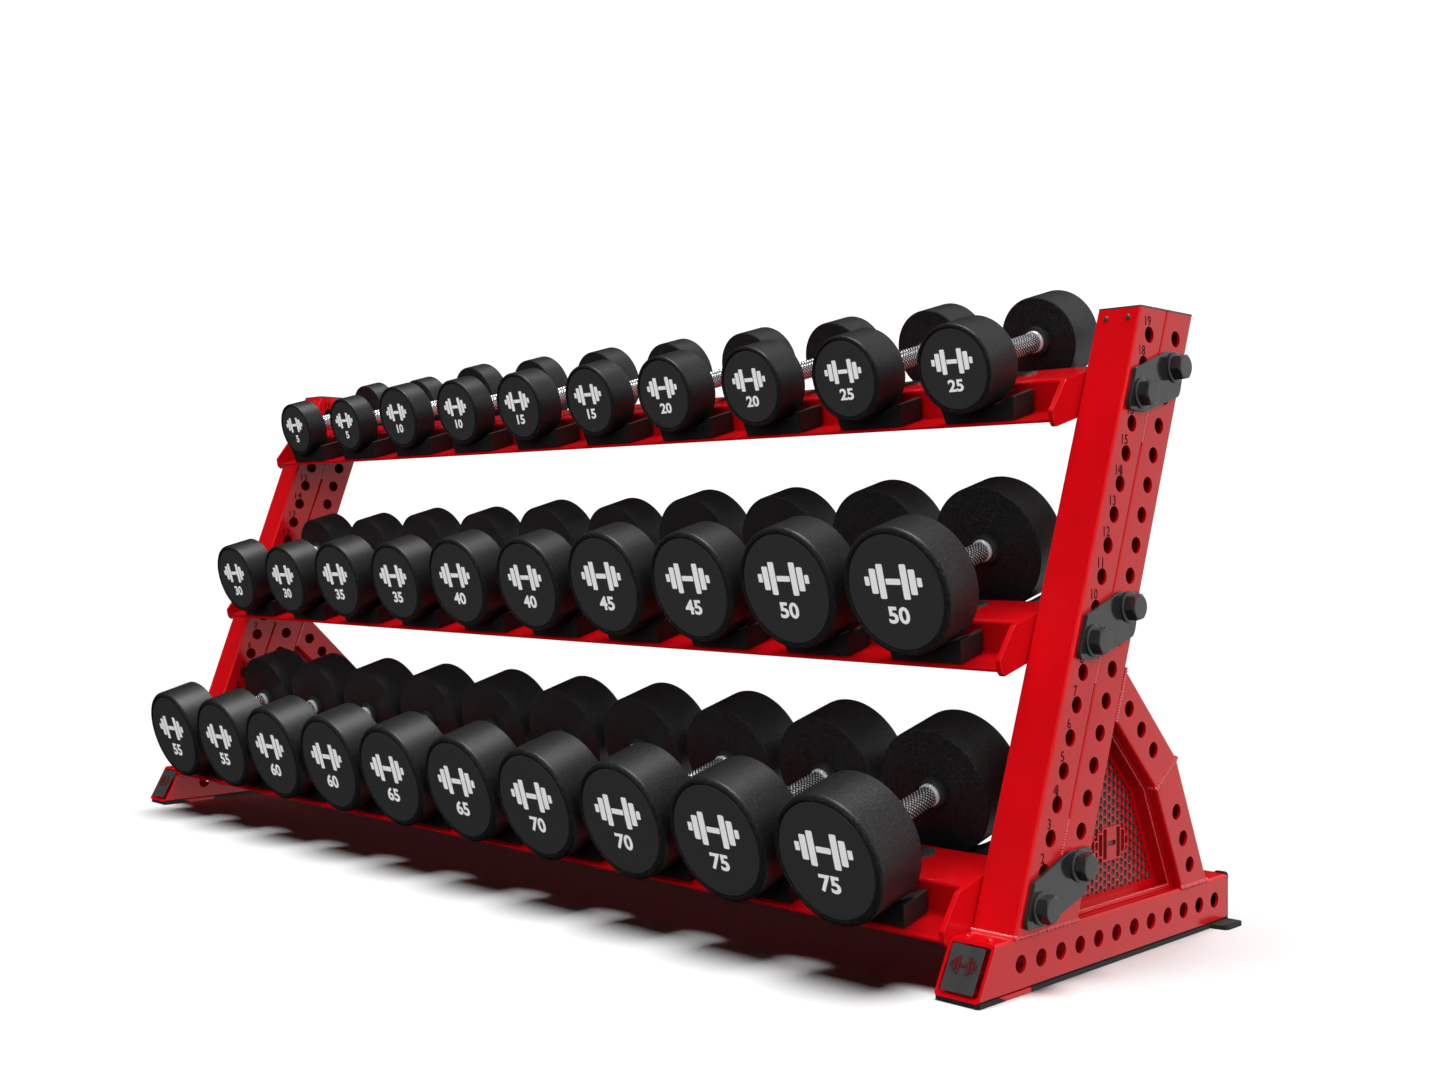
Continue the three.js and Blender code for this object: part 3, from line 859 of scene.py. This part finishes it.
def makeFrameEnds(side, x0, x1, outSign):
    plan = rackPlan
    outX = x1 if outSign > 0 else x0
    slope = Vector((plan["baseFrontHigh"] - plan["baseFrontLow"], plan["tube"], 0))
    length = slope.length
    sy, sz = slope.x / length, slope.y / length
    midY = (plan["baseFrontLow"] + plan["baseFrontHigh"]) / 2
    midZ = plan["baseLow"] + half
    face = Matrix(((1, 0, 0, (x0 + x1) / 2 * mm), (0, sy, -sz, midY * mm + shiftY), (0, sz, sy, midZ * mm), (0, 0, 0, 1)))
    w, h = half - frameDetail["capLip"], length / 2 - frameDetail["capLip"]
    cap = prism("frontCap_" + side, [(-w, -h), (w, -h), (w, h), (-w, h)], -6, 3.6)
    bevelWhere(cap, lambda a, b: abs(a.z - b.z) > 1e-4, 3.0, 3)
    softenEdges(cap, 2.2, 1, 60)
    step = prism("capStep", [(-w + 6, -h + 6), (w - 6, -h + 6), (w - 6, h - 6), (-w + 6, h - 6)], 3.5, 4.1)
    softenEdges(step, 0.5, 1)
    cap = joinAll([cap, step], "frontCap_" + side)
    paint(cap, "capPlate")
    mark = emblem("capMark", 46.0, 26.0, 3.0)
    mark.data.transform(Matrix.Translation((0, 6 * mm, 4.1 * mm)))
    paint(mark, "cutShade")
    cutAway(cap, [mark])
    cap.data.transform(face)
    roundLook(cap)
    settle(cap, "rack", "black_plastic", "front_cap_" + side)

    rear = plan["baseRear"]
    sole = prism("footPad_" + side, [(-376.5, 0), (-314.6, 0), (-333.2, 7.3), (-376.5, 7.3)], x0 + 0.2, x1 - 0.2, sideways)
    strip = prism("padStrip", [(-251.8, 0), (rear + 3.6, 0), (rear + 3.6, 7.3), (-251.8, 7.3)], x0 + 0.2, x1 - 0.2, sideways)
    softenEdges(sole, 1.0, 2)
    softenEdges(strip, 1.0, 2)
    reach = outX + outSign * 28.4
    inside = outX - outSign * 30
    tab = prism("padTab", [(inside, 262), (outX + outSign * 2, 267), (outX + outSign * 16, 269), (reach, 272), (reach, rear + 3.8), (inside, rear + 3.8)], 0.05, 7.25)
    bevelWhere(tab, lambda a, b: abs(a.z - b.z) > 1e-4 and (a.x * outSign / mm) > abs(outX) + 6, 8.0, 4)
    tab.data.transform(Matrix.Translation((0, shiftY, 0)))
    inEdit(tab, "vert", lambda: (bpy.ops.mesh.select_all(action="SELECT"), bpy.ops.mesh.normals_make_consistent(inside=False)))
    softenEdges(tab, 1.2, 2)
    plate = prism("rearPlate", [(x0, 4), (x1, 4), (x1, baseTop - 0.6), (x0, baseTop - 0.6)], -3.6, -0.3)
    plate.data.transform(Matrix(((1, 0, 0, 0), (0, 0, -1, rear * mm + shiftY), (0, 1, 0, 0), (0, 0, 0, 1))))
    bevelWhere(plate, lambda a, b: abs(a.y - b.y) > 1e-4, 4.0, 3)
    softenEdges(plate, 0.7, 2)
    ears = []
    for inner, outer in ((x0 + 24, x0), (x1 - 24, x1)):
        ear = prism("rearLip", [(inner, baseTop - 12), (outer, baseTop - 12), (outer, baseTop + 2.9), (inner, baseTop + 2.9)], -3.65, 2.4)
        ear.data.transform(Matrix(((1, 0, 0, 0), (0, 0, -1, rear * mm + shiftY), (0, 1, 0, 0), (0, 0, 0, 1))))
        inEdit(ear, "vert", lambda: (bpy.ops.mesh.select_all(action="SELECT"), bpy.ops.mesh.normals_make_consistent(inside=False)))
        bevelWhere(ear, lambda a, b: abs(a.y - b.y) > 1e-4 and max(a.z, b.z) > baseTop * mm, 5.0, 4)
        cut = prism("rearLipCut", [(rear - 9, baseTop - 15), (rear + 0.3, baseTop - 15), (rear + 0.3, baseTop + 0.3), (rear - 9, baseTop + 0.3)], x0 - 5, x1 + 5, sideways)
        cutAway(ear, [cut])
        softenEdges(ear, 0.6, 2)
        ears.append(ear)
    pad = joinAll([sole, strip, tab, plate] + ears, "footPad_" + side)
    paint(pad, "rubber")
    roundLook(pad)
    settle(pad, "rack", "pad_rubber", "foot_pad_" + side)

    lid = prism("topCap_" + side, leaningStrip(-half, half + plan["tube"], plan["height"] + 0.2, plan["height"] + 3.2), x0 + 0.2, x1 - 0.2, sideways)
    bevelWhere(lid, lambda a, b: abs(a.z - b.z) > 0.002, 4.0, 3)
    softenEdges(lid, 0.9, 2)
    paint(lid, "capPlate")
    roundLook(lid)
    settle(lid, "rack", "black_plastic", "top_cap_" + side)
    makeScrews(side, x0, x1, outSign)


def makeScrews(side, x0, x1, outSign):
    r = frameDetail["screwRadius"]
    profile = [(0, 2.7), (1.6, 2.7), (1.9, 3.3), (3.0, 3.1), (4.2, 2.1), (4.6, 0.8), (4.6, -1.2), (0, -1.2)]
    screw = turned("capScrew", [(a * r / 4.6, b) for a, b in profile], 20, (0, 0, 1))
    paint(screw, "capPlate")
    y0, z0 = cross2((rackPlan["firstHole"][0] - backDir[0] * half, rackPlan["firstHole"][1] - backDir[1] * half), leanDir, (0, rackPlan["height"] - 15.5), (1, 0))
    aim = Matrix(((1, 0, 0, 0), (0, leanDir[0], -leanDir[1], y0 * mm + shiftY), (0, leanDir[1], leanDir[0], z0 * mm), (0, 0, 0, 1)))
    places = [Matrix.Translation((x * mm, 0, 0)) @ aim for x in ((x0 + x1) / 2 - 20, (x0 + x1) / 2 + 20)]
    tops = copiesOf(screw, places, "capScrews_" + side)
    roundLook(tops, 40)
    settle(tops, "rack", "black_plastic")
    dome = copiesOf(screw, [Matrix.Translation((x * mm, -326 * mm + shiftY, baseTop * mm)) for x in ((x0 + x1) / 2 - 20, (x0 + x1) / 2 + 20)], "baseRivets_" + side)
    paint(dome, "redPaint")
    roundLook(dome, 40)
    settle(dome, "rack", "red_paint")
    bpy.data.objects.remove(screw)


def makeWelds(side, x0, x1, outSign):
    def at(x, p):
        return Vector((x * mm, p[0] * mm + shiftY, p[1] * mm))
    foot = leaningStrip(-half, half + rackPlan["tube"], baseTop + 1.0, 500)[:2]
    beads = []
    xs = ((x0 - 0.4, -1), (x1 + 0.4, 1))
    for x, sign in xs:
        beads += beadsAlong(bead, at(x - sign * 1.2, foot[0]), at(x - sign * 1.2, foot[1]), (sign, 0, 0.8))
    beads += beadsAlong(bead, at(x0 + 3, foot[0]), at(x1 - 3, foot[0]), (0, -1, 1))
    corner = braceOutline(half, 0)
    ground = corner[2:4]
    mitre = (corner[1], corner[4])
    joint = (corner[0], corner[5])
    for x, sign in xs:
        for p, q in (ground, mitre, joint):
            beads += beadsAlong(bead, at(x - sign * 0.8, p), at(x - sign * 0.8, q), (sign, 0, 0.3))
    beads += beadsAlong(bead, at(x0 + 3, ground[1]), at(x1 - 3, ground[1]), (0, 1, 1))
    beads += beadsAlong(bead, at(x0 + 3, (ground[1][0], ground[1][1])), at(x1 - 3, (ground[1][0], ground[1][1])), (0, 1, 0.4))
    beads += beadsAlong(bead, at(x0 + 3, joint[1]), at(x1 - 3, joint[1]), (0, 1, 1))
    beads += beadsAlong(bead, at(x0 + 3, mitre[0]), at(x1 - 3, mitre[0]), (0, -1, -0.4))
    beads += beadsAlong(bead, at(x0 + 3, mitre[1]), at(x1 - 3, mitre[1]), (0, 1, 0.6))
    rim = gussetOutline(3.0)
    outX = x1 if outSign > 0 else x0
    for inset in (22.0, x1 - x0 - 22.0):
        x = outX - outSign * inset
        for i in range(4):
            beads += beadsAlong(bead, at(x, rim[i]), at(x, rim[(i + 1) % 4]), (outSign, 0, 0.2), 0.8)
    y, z = rackPlan["firstHole"]
    for x, sign in xs:
        for lowIndex, highIndex in ((14.7, 16.4), (6.9, 8.4), (1.2, 2.7)):
            run = []
            for index in (lowIndex, highIndex):
                along = index * rackPlan["pitch"]
                run.append((y + leanDir[0] * along + backDir[0] * half, z + leanDir[1] * along + backDir[1] * half))
            beads += beadsAlong(bead, at(x - sign * 2.2, run[0]), at(x - sign * 2.2, run[1]), (sign, 0, 0))
    seams = copiesOf(bead, beads, "weldSeams_" + side)
    seams.data.polygons.foreach_set("use_smooth", [True] * len(seams.data.polygons))
    settle(seams, "rack", "red_paint")


bead = makeBead()
for side in ("left", "right"):
    makeFrame(side)
bpy.data.objects.remove(bead)
print("end frames made")

# ---------- shelves ----------

shelfPlan = {
    "sheet": 4.8,
    "ledge": -9.4,
    "hump": 41.9,
    "front": -122.0,
    "rear": 130.3,
    "humpFront": -49.3,
    "humpRear": 55.9,
    "endPlate": 9.5,
    "bend": 7.0,
    "stations": 10,
    "pitch": 233.0,
    "platePoint": 31.75,
    "plateHalfDeep": 17.8,
    "plateCentre": 25.4,
}


def boltStep():
    a, b = columnHole(False, 0), columnHole(True, 1)
    c, s = math.cos(math.radians(rackPlan["shelfTilt"])), math.sin(math.radians(rackPlan["shelfTilt"]))
    dy, dz = b[0] - a[0], b[1] - a[1]
    return (dy * c + dz * s, -dy * s + dz * c)


def makeShelf(tier):
    k = shelfPlan
    place = shelfPlace(tier)
    inside = tubeBox["right"][0].x / mm - 0.3
    endAt = inside - k["endPlate"]
    t = k["sheet"] / 2
    path = [(k["front"], k["ledge"] - t), (k["humpFront"] + t, k["ledge"] - t), (k["humpFront"] + t, k["hump"] - t),
            (k["humpRear"] - t, k["hump"] - t), (k["humpRear"] - t, k["ledge"] - t), (k["rear"], k["ledge"] - t)]
    sheet = startPiece("shelf_" + tier, bpy.ops.mesh.primitive_grid_add, x_subdivisions=len(path) - 1, y_subdivisions=1, size=1)
    columns = sorted({round(v.co.x, 4) for v in sheet.data.vertices})
    for v in sheet.data.vertices:
        s, n = path[columns.index(round(v.co.x, 4))]
        v.co = (s * mm, n * mm, (endAt if v.co.y > 0 else -endAt) * mm)
    bends = [Vector((s * mm, n * mm)) for s, n in path[1:-1]]
    bevelWhere(sheet, lambda a, b: abs(a.z - b.z) > 1 and any((a.xy - p).length < 1e-4 for p in bends), k["bend"] - t, 5)
    thick = sheet.modifiers.new("thick", "SOLIDIFY")
    thick.thickness = k["sheet"] * mm
    thick.offset = 0
    thick.use_even_offset = True
    applyAll(sheet)
    softenEdges(sheet, 0.8, 2, 60)
    plate = [(k["front"] + 4.4, k["ledge"] - 13.1), (k["rear"] + 3.7, k["ledge"] - 13.1), (k["rear"] + 11.7, k["ledge"] - 5.6),
             (k["rear"] + 11.7, k["hump"] - 3.9), (k["rear"] + 5.7, k["hump"] + 1.8), (k["humpFront"] - 20.7, k["hump"] + 1.8),
             (k["humpFront"] - 25.7, k["hump"] - 1.3), (k["front"] + 0.8, k["ledge"] + 13.7), (k["front"] - 0.7, k["ledge"] - 3.8)]
    ends = []
    for x0 in (-inside, endAt):
        end = prism("shelfEnd", plate, x0, x0 + k["endPlate"])
        bevelWhere(end, lambda a, b: abs(a.z - b.z) > 1e-4, 2.2, 2)
        cutAway(end, [rodsAt("endDrill", [(0, 0), boltStep()], 12.8, x0 - 5, x0 + 15, 32, Matrix())])
        softenEdges(end, 1.0, 2, 50)
        ends.append(end)
    shelf = joinAll([sheet] + ends, "shelf_" + tier)
    shelf.data.transform(place)
    inEdit(shelf, "vert", lambda: (bpy.ops.mesh.select_all(action="SELECT"), bpy.ops.mesh.normals_make_consistent(inside=False)))
    paintRed(shelf, "rack", "shelf_" + tier)

    name = prism("namePlate", [(-k["platePoint"], 0), (-20, -k["plateHalfDeep"]), (20, -k["plateHalfDeep"]), (k["platePoint"], 0), (20, k["plateHalfDeep"]), (-20, k["plateHalfDeep"])], 0.05, 1.5)
    bevelWhere(name, lambda a, b: abs(a.z - b.z) > 1e-4, 3.0, 2)
    softenEdges(name, 0.4, 1)
    rivet = turned("plateRivet", [(0, 1.1), (1.2, 1.0), (2.2, 0.5), (2.5, 0), (2.5, -0.6), (0, -0.6)], 12, (0, 0, 1))
    rivets = copiesOf(rivet, [Matrix.Translation((x * mm, 0, 1.5 * mm)) for x in (-23, 23)], "plateRivets")
    bpy.data.objects.remove(rivet)
    name = joinAll([name, rivets], "namePlate")
    paint(name, "capPlate")
    # label length along X, depth along the shelf, thickness up
    lay = Matrix(((0, 1, 0, 0), (0, 0, 1, 0), (1, 0, 0, 0), (0, 0, 0, 1)))
    spots = []
    for i in range(k["stations"]):
        x = (i - (k["stations"] - 1) / 2) * k["pitch"]
        spots.append(place @ Matrix.Translation((k["plateCentre"] * mm, (k["hump"]) * mm, x * mm)) @ lay)
    plates = copiesOf(name, spots, "namePlates_" + tier)
    bpy.data.objects.remove(name)
    roundLook(plates, 40)
    settle(plates, "rack", "black_plastic")


for tier in ("bottom", "middle", "top"):
    makeShelf(tier)
print("shelves made")

# ---------- bolt plates ----------

boltPlan = {
    "plate": 8.0,
    "corner": 3.0,
    "washer": (25.0, 5.5),
    "head": (22.0, 16.2),
    "shaft": 11.0,
    "nutGap": 9.5,
    "turn": 40.0,
}
boltOutline = [(-37.6, -15.2), (-34, -26.7), (12.7, -27.9), (111.8, 1.5), (117.3, 10.2), (132, 66), (127, 72.4), (73.4, 71.9), (-16.8, 39.6), (-21.8, 24.1)]


def hexHead(name, radius, low, high, turn, chamfer=True):
    head = rod(name, (0, 0), radius, low, high, 6, turn=turn)
    if chamfer:
        cone = turned("headCone", [(0, high), (radius * 0.80, high), (radius * 1.06, high - 4.0), (radius * 1.06, low - 1), (0, low - 1)], 48, (0, 0, 1))
        mod = head.modifiers.new("round", "BOOLEAN")
        mod.operation = "INTERSECT"
        mod.solver = "EXACT"
        mod.object = cone
        applyAll(head)
        bpy.data.objects.remove(cone)
    softenEdges(head, 0.5, 2, 30)
    return head


def makeBoltPlate(tier, side):
    k = boltPlan
    sign = 1 if side == "right" else -1
    x0, x1 = tubeBox[side][0].x / mm, tubeBox[side][1].x / mm
    face = 0.3
    plate = prism("boltPlate", boltOutline, face, face + k["plate"])
    bevelWhere(plate, lambda a, b: abs(a.z - b.z) > 1e-4, k["corner"], 3)
    softenEdges(plate, 1.3, 3, 50)
    seat = face + k["plate"]
    washerR, washerH = k["washer"]
    headR, headH = k["head"]
    washer = turned("flange", [(0, seat + washerH), (headR * 0.86, seat + washerH), (washerR - 1.6, seat + washerH - 1.4), (washerR, seat + washerH - 2.8), (washerR, seat - 0.5), (0, seat - 0.5)], 48, (0, 0, 1))
    head = hexHead("boltHead", headR, seat + washerH - 0.5, seat + washerH + headH, k["turn"])
    nutFace = -(x1 - x0) - 0.3 - k["nutGap"]
    shaft = rod("shaft", (0, 0), k["shaft"], nutFace - 16, seat, 28)
    softenEdges(shaft, 1.2, 2)
    nut = hexHead("nut", headR - 1, -13.0, -1.4, k["turn"])
    nut.data.transform(Matrix.Translation((0, 0, nutFace * mm)) @ Matrix.Rotation(math.pi, 4, "X") @ Matrix.Translation((0, 0, 14.0 * mm)))
    nutWasher = turned("nutWasher", [(0, nutFace), (washerR - 3, nutFace), (washerR - 3, nutFace - 2.2), (0, nutFace - 2.2)], 40, (0, 0, 1))
    bolt = joinAll([washer, head, shaft, nut, nutWasher], "bolt")
    a, b = columnHole(False, 0), columnHole(True, 1)
    bolts = copiesOf(bolt, [Matrix(), Matrix.Translation(((b[0] - a[0]) * mm, (b[1] - a[1]) * mm, 0))], "bolts")
    bpy.data.objects.remove(bolt)
    whole = joinAll([plate, bolts], "boltPlate_" + tier + "_" + side)
    y, z = columnHole(False, rackPlan["tierHole"][tier])
    outX = x1 if sign > 0 else x0
    whole.data.transform(Matrix(((0, 0, sign, outX * mm), (1, 0, 0, y * mm + shiftY), (0, 1, 0, z * mm), (0, 0, 0, 1))))
    inEdit(whole, "vert", lambda: (bpy.ops.mesh.select_all(action="SELECT"), bpy.ops.mesh.normals_make_consistent(inside=False)))
    paint(whole, "darkPlate")
    roundLook(whole, 30)
    settle(whole, "rack", "dark_plate", "bolt_plate_" + tier + "_" + side)


for tier in ("bottom", "middle", "top"):
    for side in ("left", "right"):
        makeBoltPlate(tier, side)
print("bolt plates made")

# ---------- saddles ----------

saddlePlan = {
    "depth": 58.0,
    "clear": 7.0,
    "foot": 69.0,
    "top": 76.5,
    "high": 30.0,
    "cradle": 12.7,
    "cradleRadius": 127.0,
    "edge": 2.0,
}


def saddleOutline():
    k = saddlePlan
    low = shelfPlan["ledge"] + 0.3
    points = [(-k["foot"], low), (k["foot"], low), (k["top"], k["high"])]
    lip = k["top"] - 9
    steps = 14
    rise = k["high"] - k["cradle"]
    radius = (lip * lip + rise * rise) / (2 * rise)
    for i in range(steps + 1):
        x = lip - 2 * lip * i / steps
        points.append((x, k["cradle"] + radius - math.sqrt(radius * radius - x * x)))
    points.append((-k["top"], k["high"]))
    return points


def makeSaddles():
    block = prism("saddle", saddleOutline(), 0, saddlePlan["depth"])
    softenEdges(block, saddlePlan["edge"], 3, 40)
    paint(block, "saddle")
    for tier in ("bottom", "middle", "top"):
        place = shelfPlace(tier)
        for row in ("front", "rear"):
            near = shelfPlan["humpFront"] - saddlePlan["clear"] - saddlePlan["depth"] if row == "front" else shelfPlan["humpRear"] + saddlePlan["clear"]
            # saddle outline in X and up, depth along the shelf
            stand = Matrix(((0, 0, 1, near * mm), (0, 1, 0, 0), (1, 0, 0, 0), (0, 0, 0, 1)))
            spots = []
            for i in range(shelfPlan["stations"]):
                x = (i - (shelfPlan["stations"] - 1) / 2) * shelfPlan["pitch"]
                spots.append(place @ Matrix.Translation((0, 0, x * mm)) @ stand)
            whole = copiesOf(block, spots, "saddles_" + row + "_" + tier)
            inEdit(whole, "vert", lambda: (bpy.ops.mesh.select_all(action="SELECT"), bpy.ops.mesh.normals_make_consistent(inside=False)))
            roundLook(whole, 30)
            settle(whole, "rack", "black_plastic", "saddles_" + row + "_" + tier)
    bpy.data.objects.remove(block)


makeSaddles()
print("saddles made")

# ---------- dumbbells ----------

dumbbellPlan = {
    "gap": 167.6,
    "gripRadius": 16.2,
    "ringRadius": 19.0,
    "ringLength": 7.0,
    "hubRadius": 25.0,
    "hubLength": 9.0,
    "rim": 9.0,
    "inlay": 0.885,
    "knurlAround": 30,
    "knurlPitch": 3.4,
    "knurlHigh": 0.8,
    "segments": 72,
}
# pounds: head radius, head length, size of the marks
weights = {
    5: (64.8, 49.5, 35.0), 10: (72.4, 52.1, 38.0), 15: (72.9, 59.0, 39.1), 20: (73.9, 69.0, 39.1), 25: (74.4, 76.2, 39.1),
    30: (83.3, 68.6, 44.7), 35: (88.4, 69.0, 47.0), 40: (94.5, 72.0, 48.8), 45: (101.0, 73.0, 52.1), 50: (105.2, 75.0, 54.1),
    55: (105.2, 83.0, 54.3), 60: (105.2, 86.0, 54.3), 65: (105.2, 90.0, 54.3), 70: (105.2, 94.0, 54.3), 75: (105.2, 97.0, 54.3),
}


def headProfile(radius, length):
    k = dumbbellPlan
    disc = radius * k["inlay"]
    points = [(0.0, 1.0), (disc - 1.2, 1.0), (disc, 2.6), (disc + 1.6, 2.6), (disc + 2.4, 0.6), (disc + 3.2, 0.0)]
    rim = min(k["rim"], radius - disc - 3.4)
    for i in range(7):
        angle = math.pi / 2 * i / 6
        points.append((radius - rim + rim * math.sin(angle), rim - rim * math.cos(angle)))
    points += [(radius, length - 1.8), (radius - 1.8, length), (radius - 3.6, length)]
    hub = k["hubRadius"]
    points += [(hub + 1.5, length), (hub, length + 1), (hub, length + k["hubLength"] - 1.5), (hub - 1.5, length + k["hubLength"]), (0, length + k["hubLength"])]
    return points


def makeHead(radius, length):
    k = dumbbellPlan
    head = turned("dumbbellHead", headProfile(radius, length), k["segments"])
    paint(head, "urethane", "inlay", "hubPlastic")
    for face in head.data.polygons:
        c = face.center / mm
        across = math.hypot(c.x, c.z)
        if across < radius * k["inlay"] - 0.5 and c.y < 2:
            face.material_index = 1
        elif across < k["hubRadius"] + 0.6 and c.y > length - 0.5:
            face.material_index = 2
    head.data.transform(Matrix.Translation((0, -(k["gap"] / 2 + length) * mm, 0)))
    return head


def makeGrip():
    k = dumbbellPlan
    halfLong = k["gap"] / 2 - k["hubLength"] - k["ringLength"]
    rows = int(2 * halfLong / k["knurlPitch"])
    around = k["knurlAround"]
    knurl = startPiece("knurl", bpy.ops.mesh.primitive_grid_add, x_subdivisions=around, y_subdivisions=rows, size=1)
    for v in knurl.data.vertices:
        i, j = round((v.co.x + 0.5) * around), round((v.co.y + 0.5) * rows)
        angle = 2 * math.pi * i / around
        swell = 0.5 * math.cos(math.pi * (2 * j / rows - 1) / 2)
        r = k["gripRadius"] + swell + (k["knurlHigh"] if (i + j) % 2 else 0) - 0.3
        v.co = (r * math.cos(angle) * mm, (-halfLong + 2 * halfLong * j / rows) * mm, r * math.sin(angle) * mm)

    def close():
        bpy.ops.mesh.select_all(action="SELECT")
        bpy.ops.mesh.remove_doubles(threshold=0.00005)
        bpy.ops.mesh.quads_convert_to_tris(quad_method="SHORTEST_DIAGONAL", ngon_method="BEAUTY")
        bpy.ops.mesh.normals_make_consistent(inside=False)

    inEdit(knurl, "vert", close)
    # 1.0 marks the knurl's low vertices, which take painted shade in the chrome finish
    depths = []
    for v in knurl.data.vertices:
        j = round((v.co.y / mm + halfLong) / (2 * halfLong) * rows)
        swell = 0.5 * math.cos(math.pi * (2 * j / rows - 1) / 2)
        depths.append(1.0 if math.hypot(v.co.x, v.co.z) / mm < k["gripRadius"] + swell + 0.2 else 0.0)
    knurl.data.attributes.new("valley", "FLOAT", "POINT").data.foreach_set("value", depths)
    ends = []
    for sign in (-1, 1):
        a, b = halfLong - 0.5, halfLong + k["ringLength"] + 2
        ring = turned("gripRing", [(8, sign * a), (k["ringRadius"] - 1.5, sign * a), (k["ringRadius"], sign * (a + 1.5)), (k["ringRadius"], sign * (b - 4)), (k["ringRadius"] - 1, sign * (b - 3)), (k["ringRadius"] - 1, sign * b), (8, sign * b)], 40)
        ends.append(ring)
    rings = joinAll(ends, "gripRings")
    roundLook(rings, 35)
    grip = joinAll([knurl, rings], "dumbbellGrip")
    paint(grip, "chrome")
    return grip


def makeMarks(pounds, radius, length, size):
    # emblem above the middle, pounds below it; on the front and on the back disc
    discAt = -(dumbbellPlan["gap"] / 2 + length) + 1.0
    parts = []
    sign = emblem("markEmblem", size * 2.15, size * 1.04, 0.5)
    sign.data.transform(Matrix.Translation((0, 0.335 * size * mm, 0)))
    number = lettering("markNumber", str(pounds), size * 0.52, 0.5, 0.03)
    number.data.transform(Matrix.Diagonal((1.18, 1, 1, 1)) @ Matrix.Translation((0, -0.665 * size * mm, 0)))
    mark = joinAll([sign, number], "dumbbellMark")
    front = Matrix(((1, 0, 0, 0), (0, 0, -1, (discAt - 0.1) * mm), (0, 1, 0, 0), (0, 0, 0, 1)))
    rear = Matrix.Rotation(math.pi, 4, "Z")
    both = copiesOf(mark, [front, rear @ front], "dumbbellMarks")
    bpy.data.objects.remove(mark)
    paint(both, "white")
    return both


def makeDumbbells():
    grip = makeGrip()
    tilt = Matrix.Rotation(math.radians(rackPlan["shelfTilt"]), 4, "X")
    for pounds, (radius, length, size) in weights.items():
        head = makeHead(radius, length)
        heads = copiesOf(head, [Matrix(), Matrix.Rotation(math.pi, 4, "Z")], "heads")
        bpy.data.objects.remove(head)
        marks = makeMarks(pounds, radius, length, size)
        for copy in ("a", "b"):
            node = "dumbbell_%02d_%s" % (pounds, copy)
            low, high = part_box(node)
            place = Matrix.Translation((low + high) / 2) @ tilt
            suffix = "%02d_%s" % (pounds, copy)
            for part, name, angle, slot in ((heads, "heads_", 30, "urethane"), (grip, "grip_", 0, "dark_plate"), (marks, "marks_", 0, "urethane")):
                made = copiesOf(part, [place], name + suffix)
                if part is grip:
                    smooth = [p.use_smooth for p in grip.data.polygons]
                    made.data.polygons.foreach_set("use_smooth", smooth)
                elif angle:
                    roundLook(made, angle)
                settle(made, node, slot, *([node] if part is heads else []))
        bpy.data.objects.remove(heads)
        bpy.data.objects.remove(marks)
    bpy.data.objects.remove(grip)


makeDumbbells()
print("dumbbells made")

# ---------- floor and light ----------


def makeFloor():
    floor = startPiece("studioFloor", bpy.ops.mesh.primitive_grid_add, x_subdivisions=2, y_subdivisions=2, size=60)
    finish = Finish("studioFloor", studio["floorColour"], 0.9, specular=0.1)
    patch = finish.noise(1.5, 2.0)
    finish.feed("Roughness", 0.88 + patch * 0.05)
    floor.data.materials.append(finish.material)
    floor.visible_glossy = False
    floor.visible_diffuse = False
    floor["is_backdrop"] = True


def makeSky():
    world = bpy.data.worlds.new("studioSky")
    bpy.context.scene.world = world
    world.cycles_visibility.diffuse = False
    world.use_nodes = True
    tree = world.node_tree
    tree.nodes.clear()
    coordinate = tree.nodes.new("ShaderNodeTexCoord")
    lean = tree.nodes.new("ShaderNodeVectorMath")
    lean.operation = "DOT_PRODUCT"
    lean.inputs[1].default_value = studio["skyToward"]
    tree.links.new(coordinate.outputs["Generated"], lean.inputs[0])
    spread = tree.nodes.new("ShaderNodeMapRange")
    spread.interpolation_type = "SMOOTHSTEP"
    spread.inputs["From Min"].default_value = studio["skyFrom"]
    spread.inputs["From Max"].default_value = studio["skyFull"]
    spread.inputs["To Min"].default_value = studio["skyDim"]
    spread.inputs["To Max"].default_value = studio["skyBright"]
    tree.links.new(lean.outputs["Value"], spread.inputs["Value"])
    seen = tree.nodes.new("ShaderNodeLightPath")
    lit = tree.nodes.new("ShaderNodeBackground")
    lit.inputs["Color"].default_value = (1, 1, 1, 1)
    tree.links.new(spread.outputs[0], lit.inputs["Strength"])
    plain = tree.nodes.new("ShaderNodeBackground")
    plain.inputs["Color"].default_value = (1, 1, 1, 1)
    plain.inputs["Strength"].default_value = 1.1
    pick = tree.nodes.new("ShaderNodeMixShader")
    tree.links.new(seen.outputs["Is Camera Ray"], pick.inputs[0])
    tree.links.new(lit.outputs[0], pick.inputs[1])
    tree.links.new(plain.outputs[0], pick.inputs[2])
    out = tree.nodes.new("ShaderNodeOutputWorld")
    tree.links.new(pick.outputs[0], out.inputs[0])


makeFloor()
makeSky()
rackOnly = bpy.data.collections.new("rackOnly")
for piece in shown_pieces():
    rackOnly.objects.link(piece)
for name, spec in studio["suns"].items():
    makeSun(name, *spec)
bpy.context.scene.view_settings.view_transform = "Standard"
print("floor and light made")
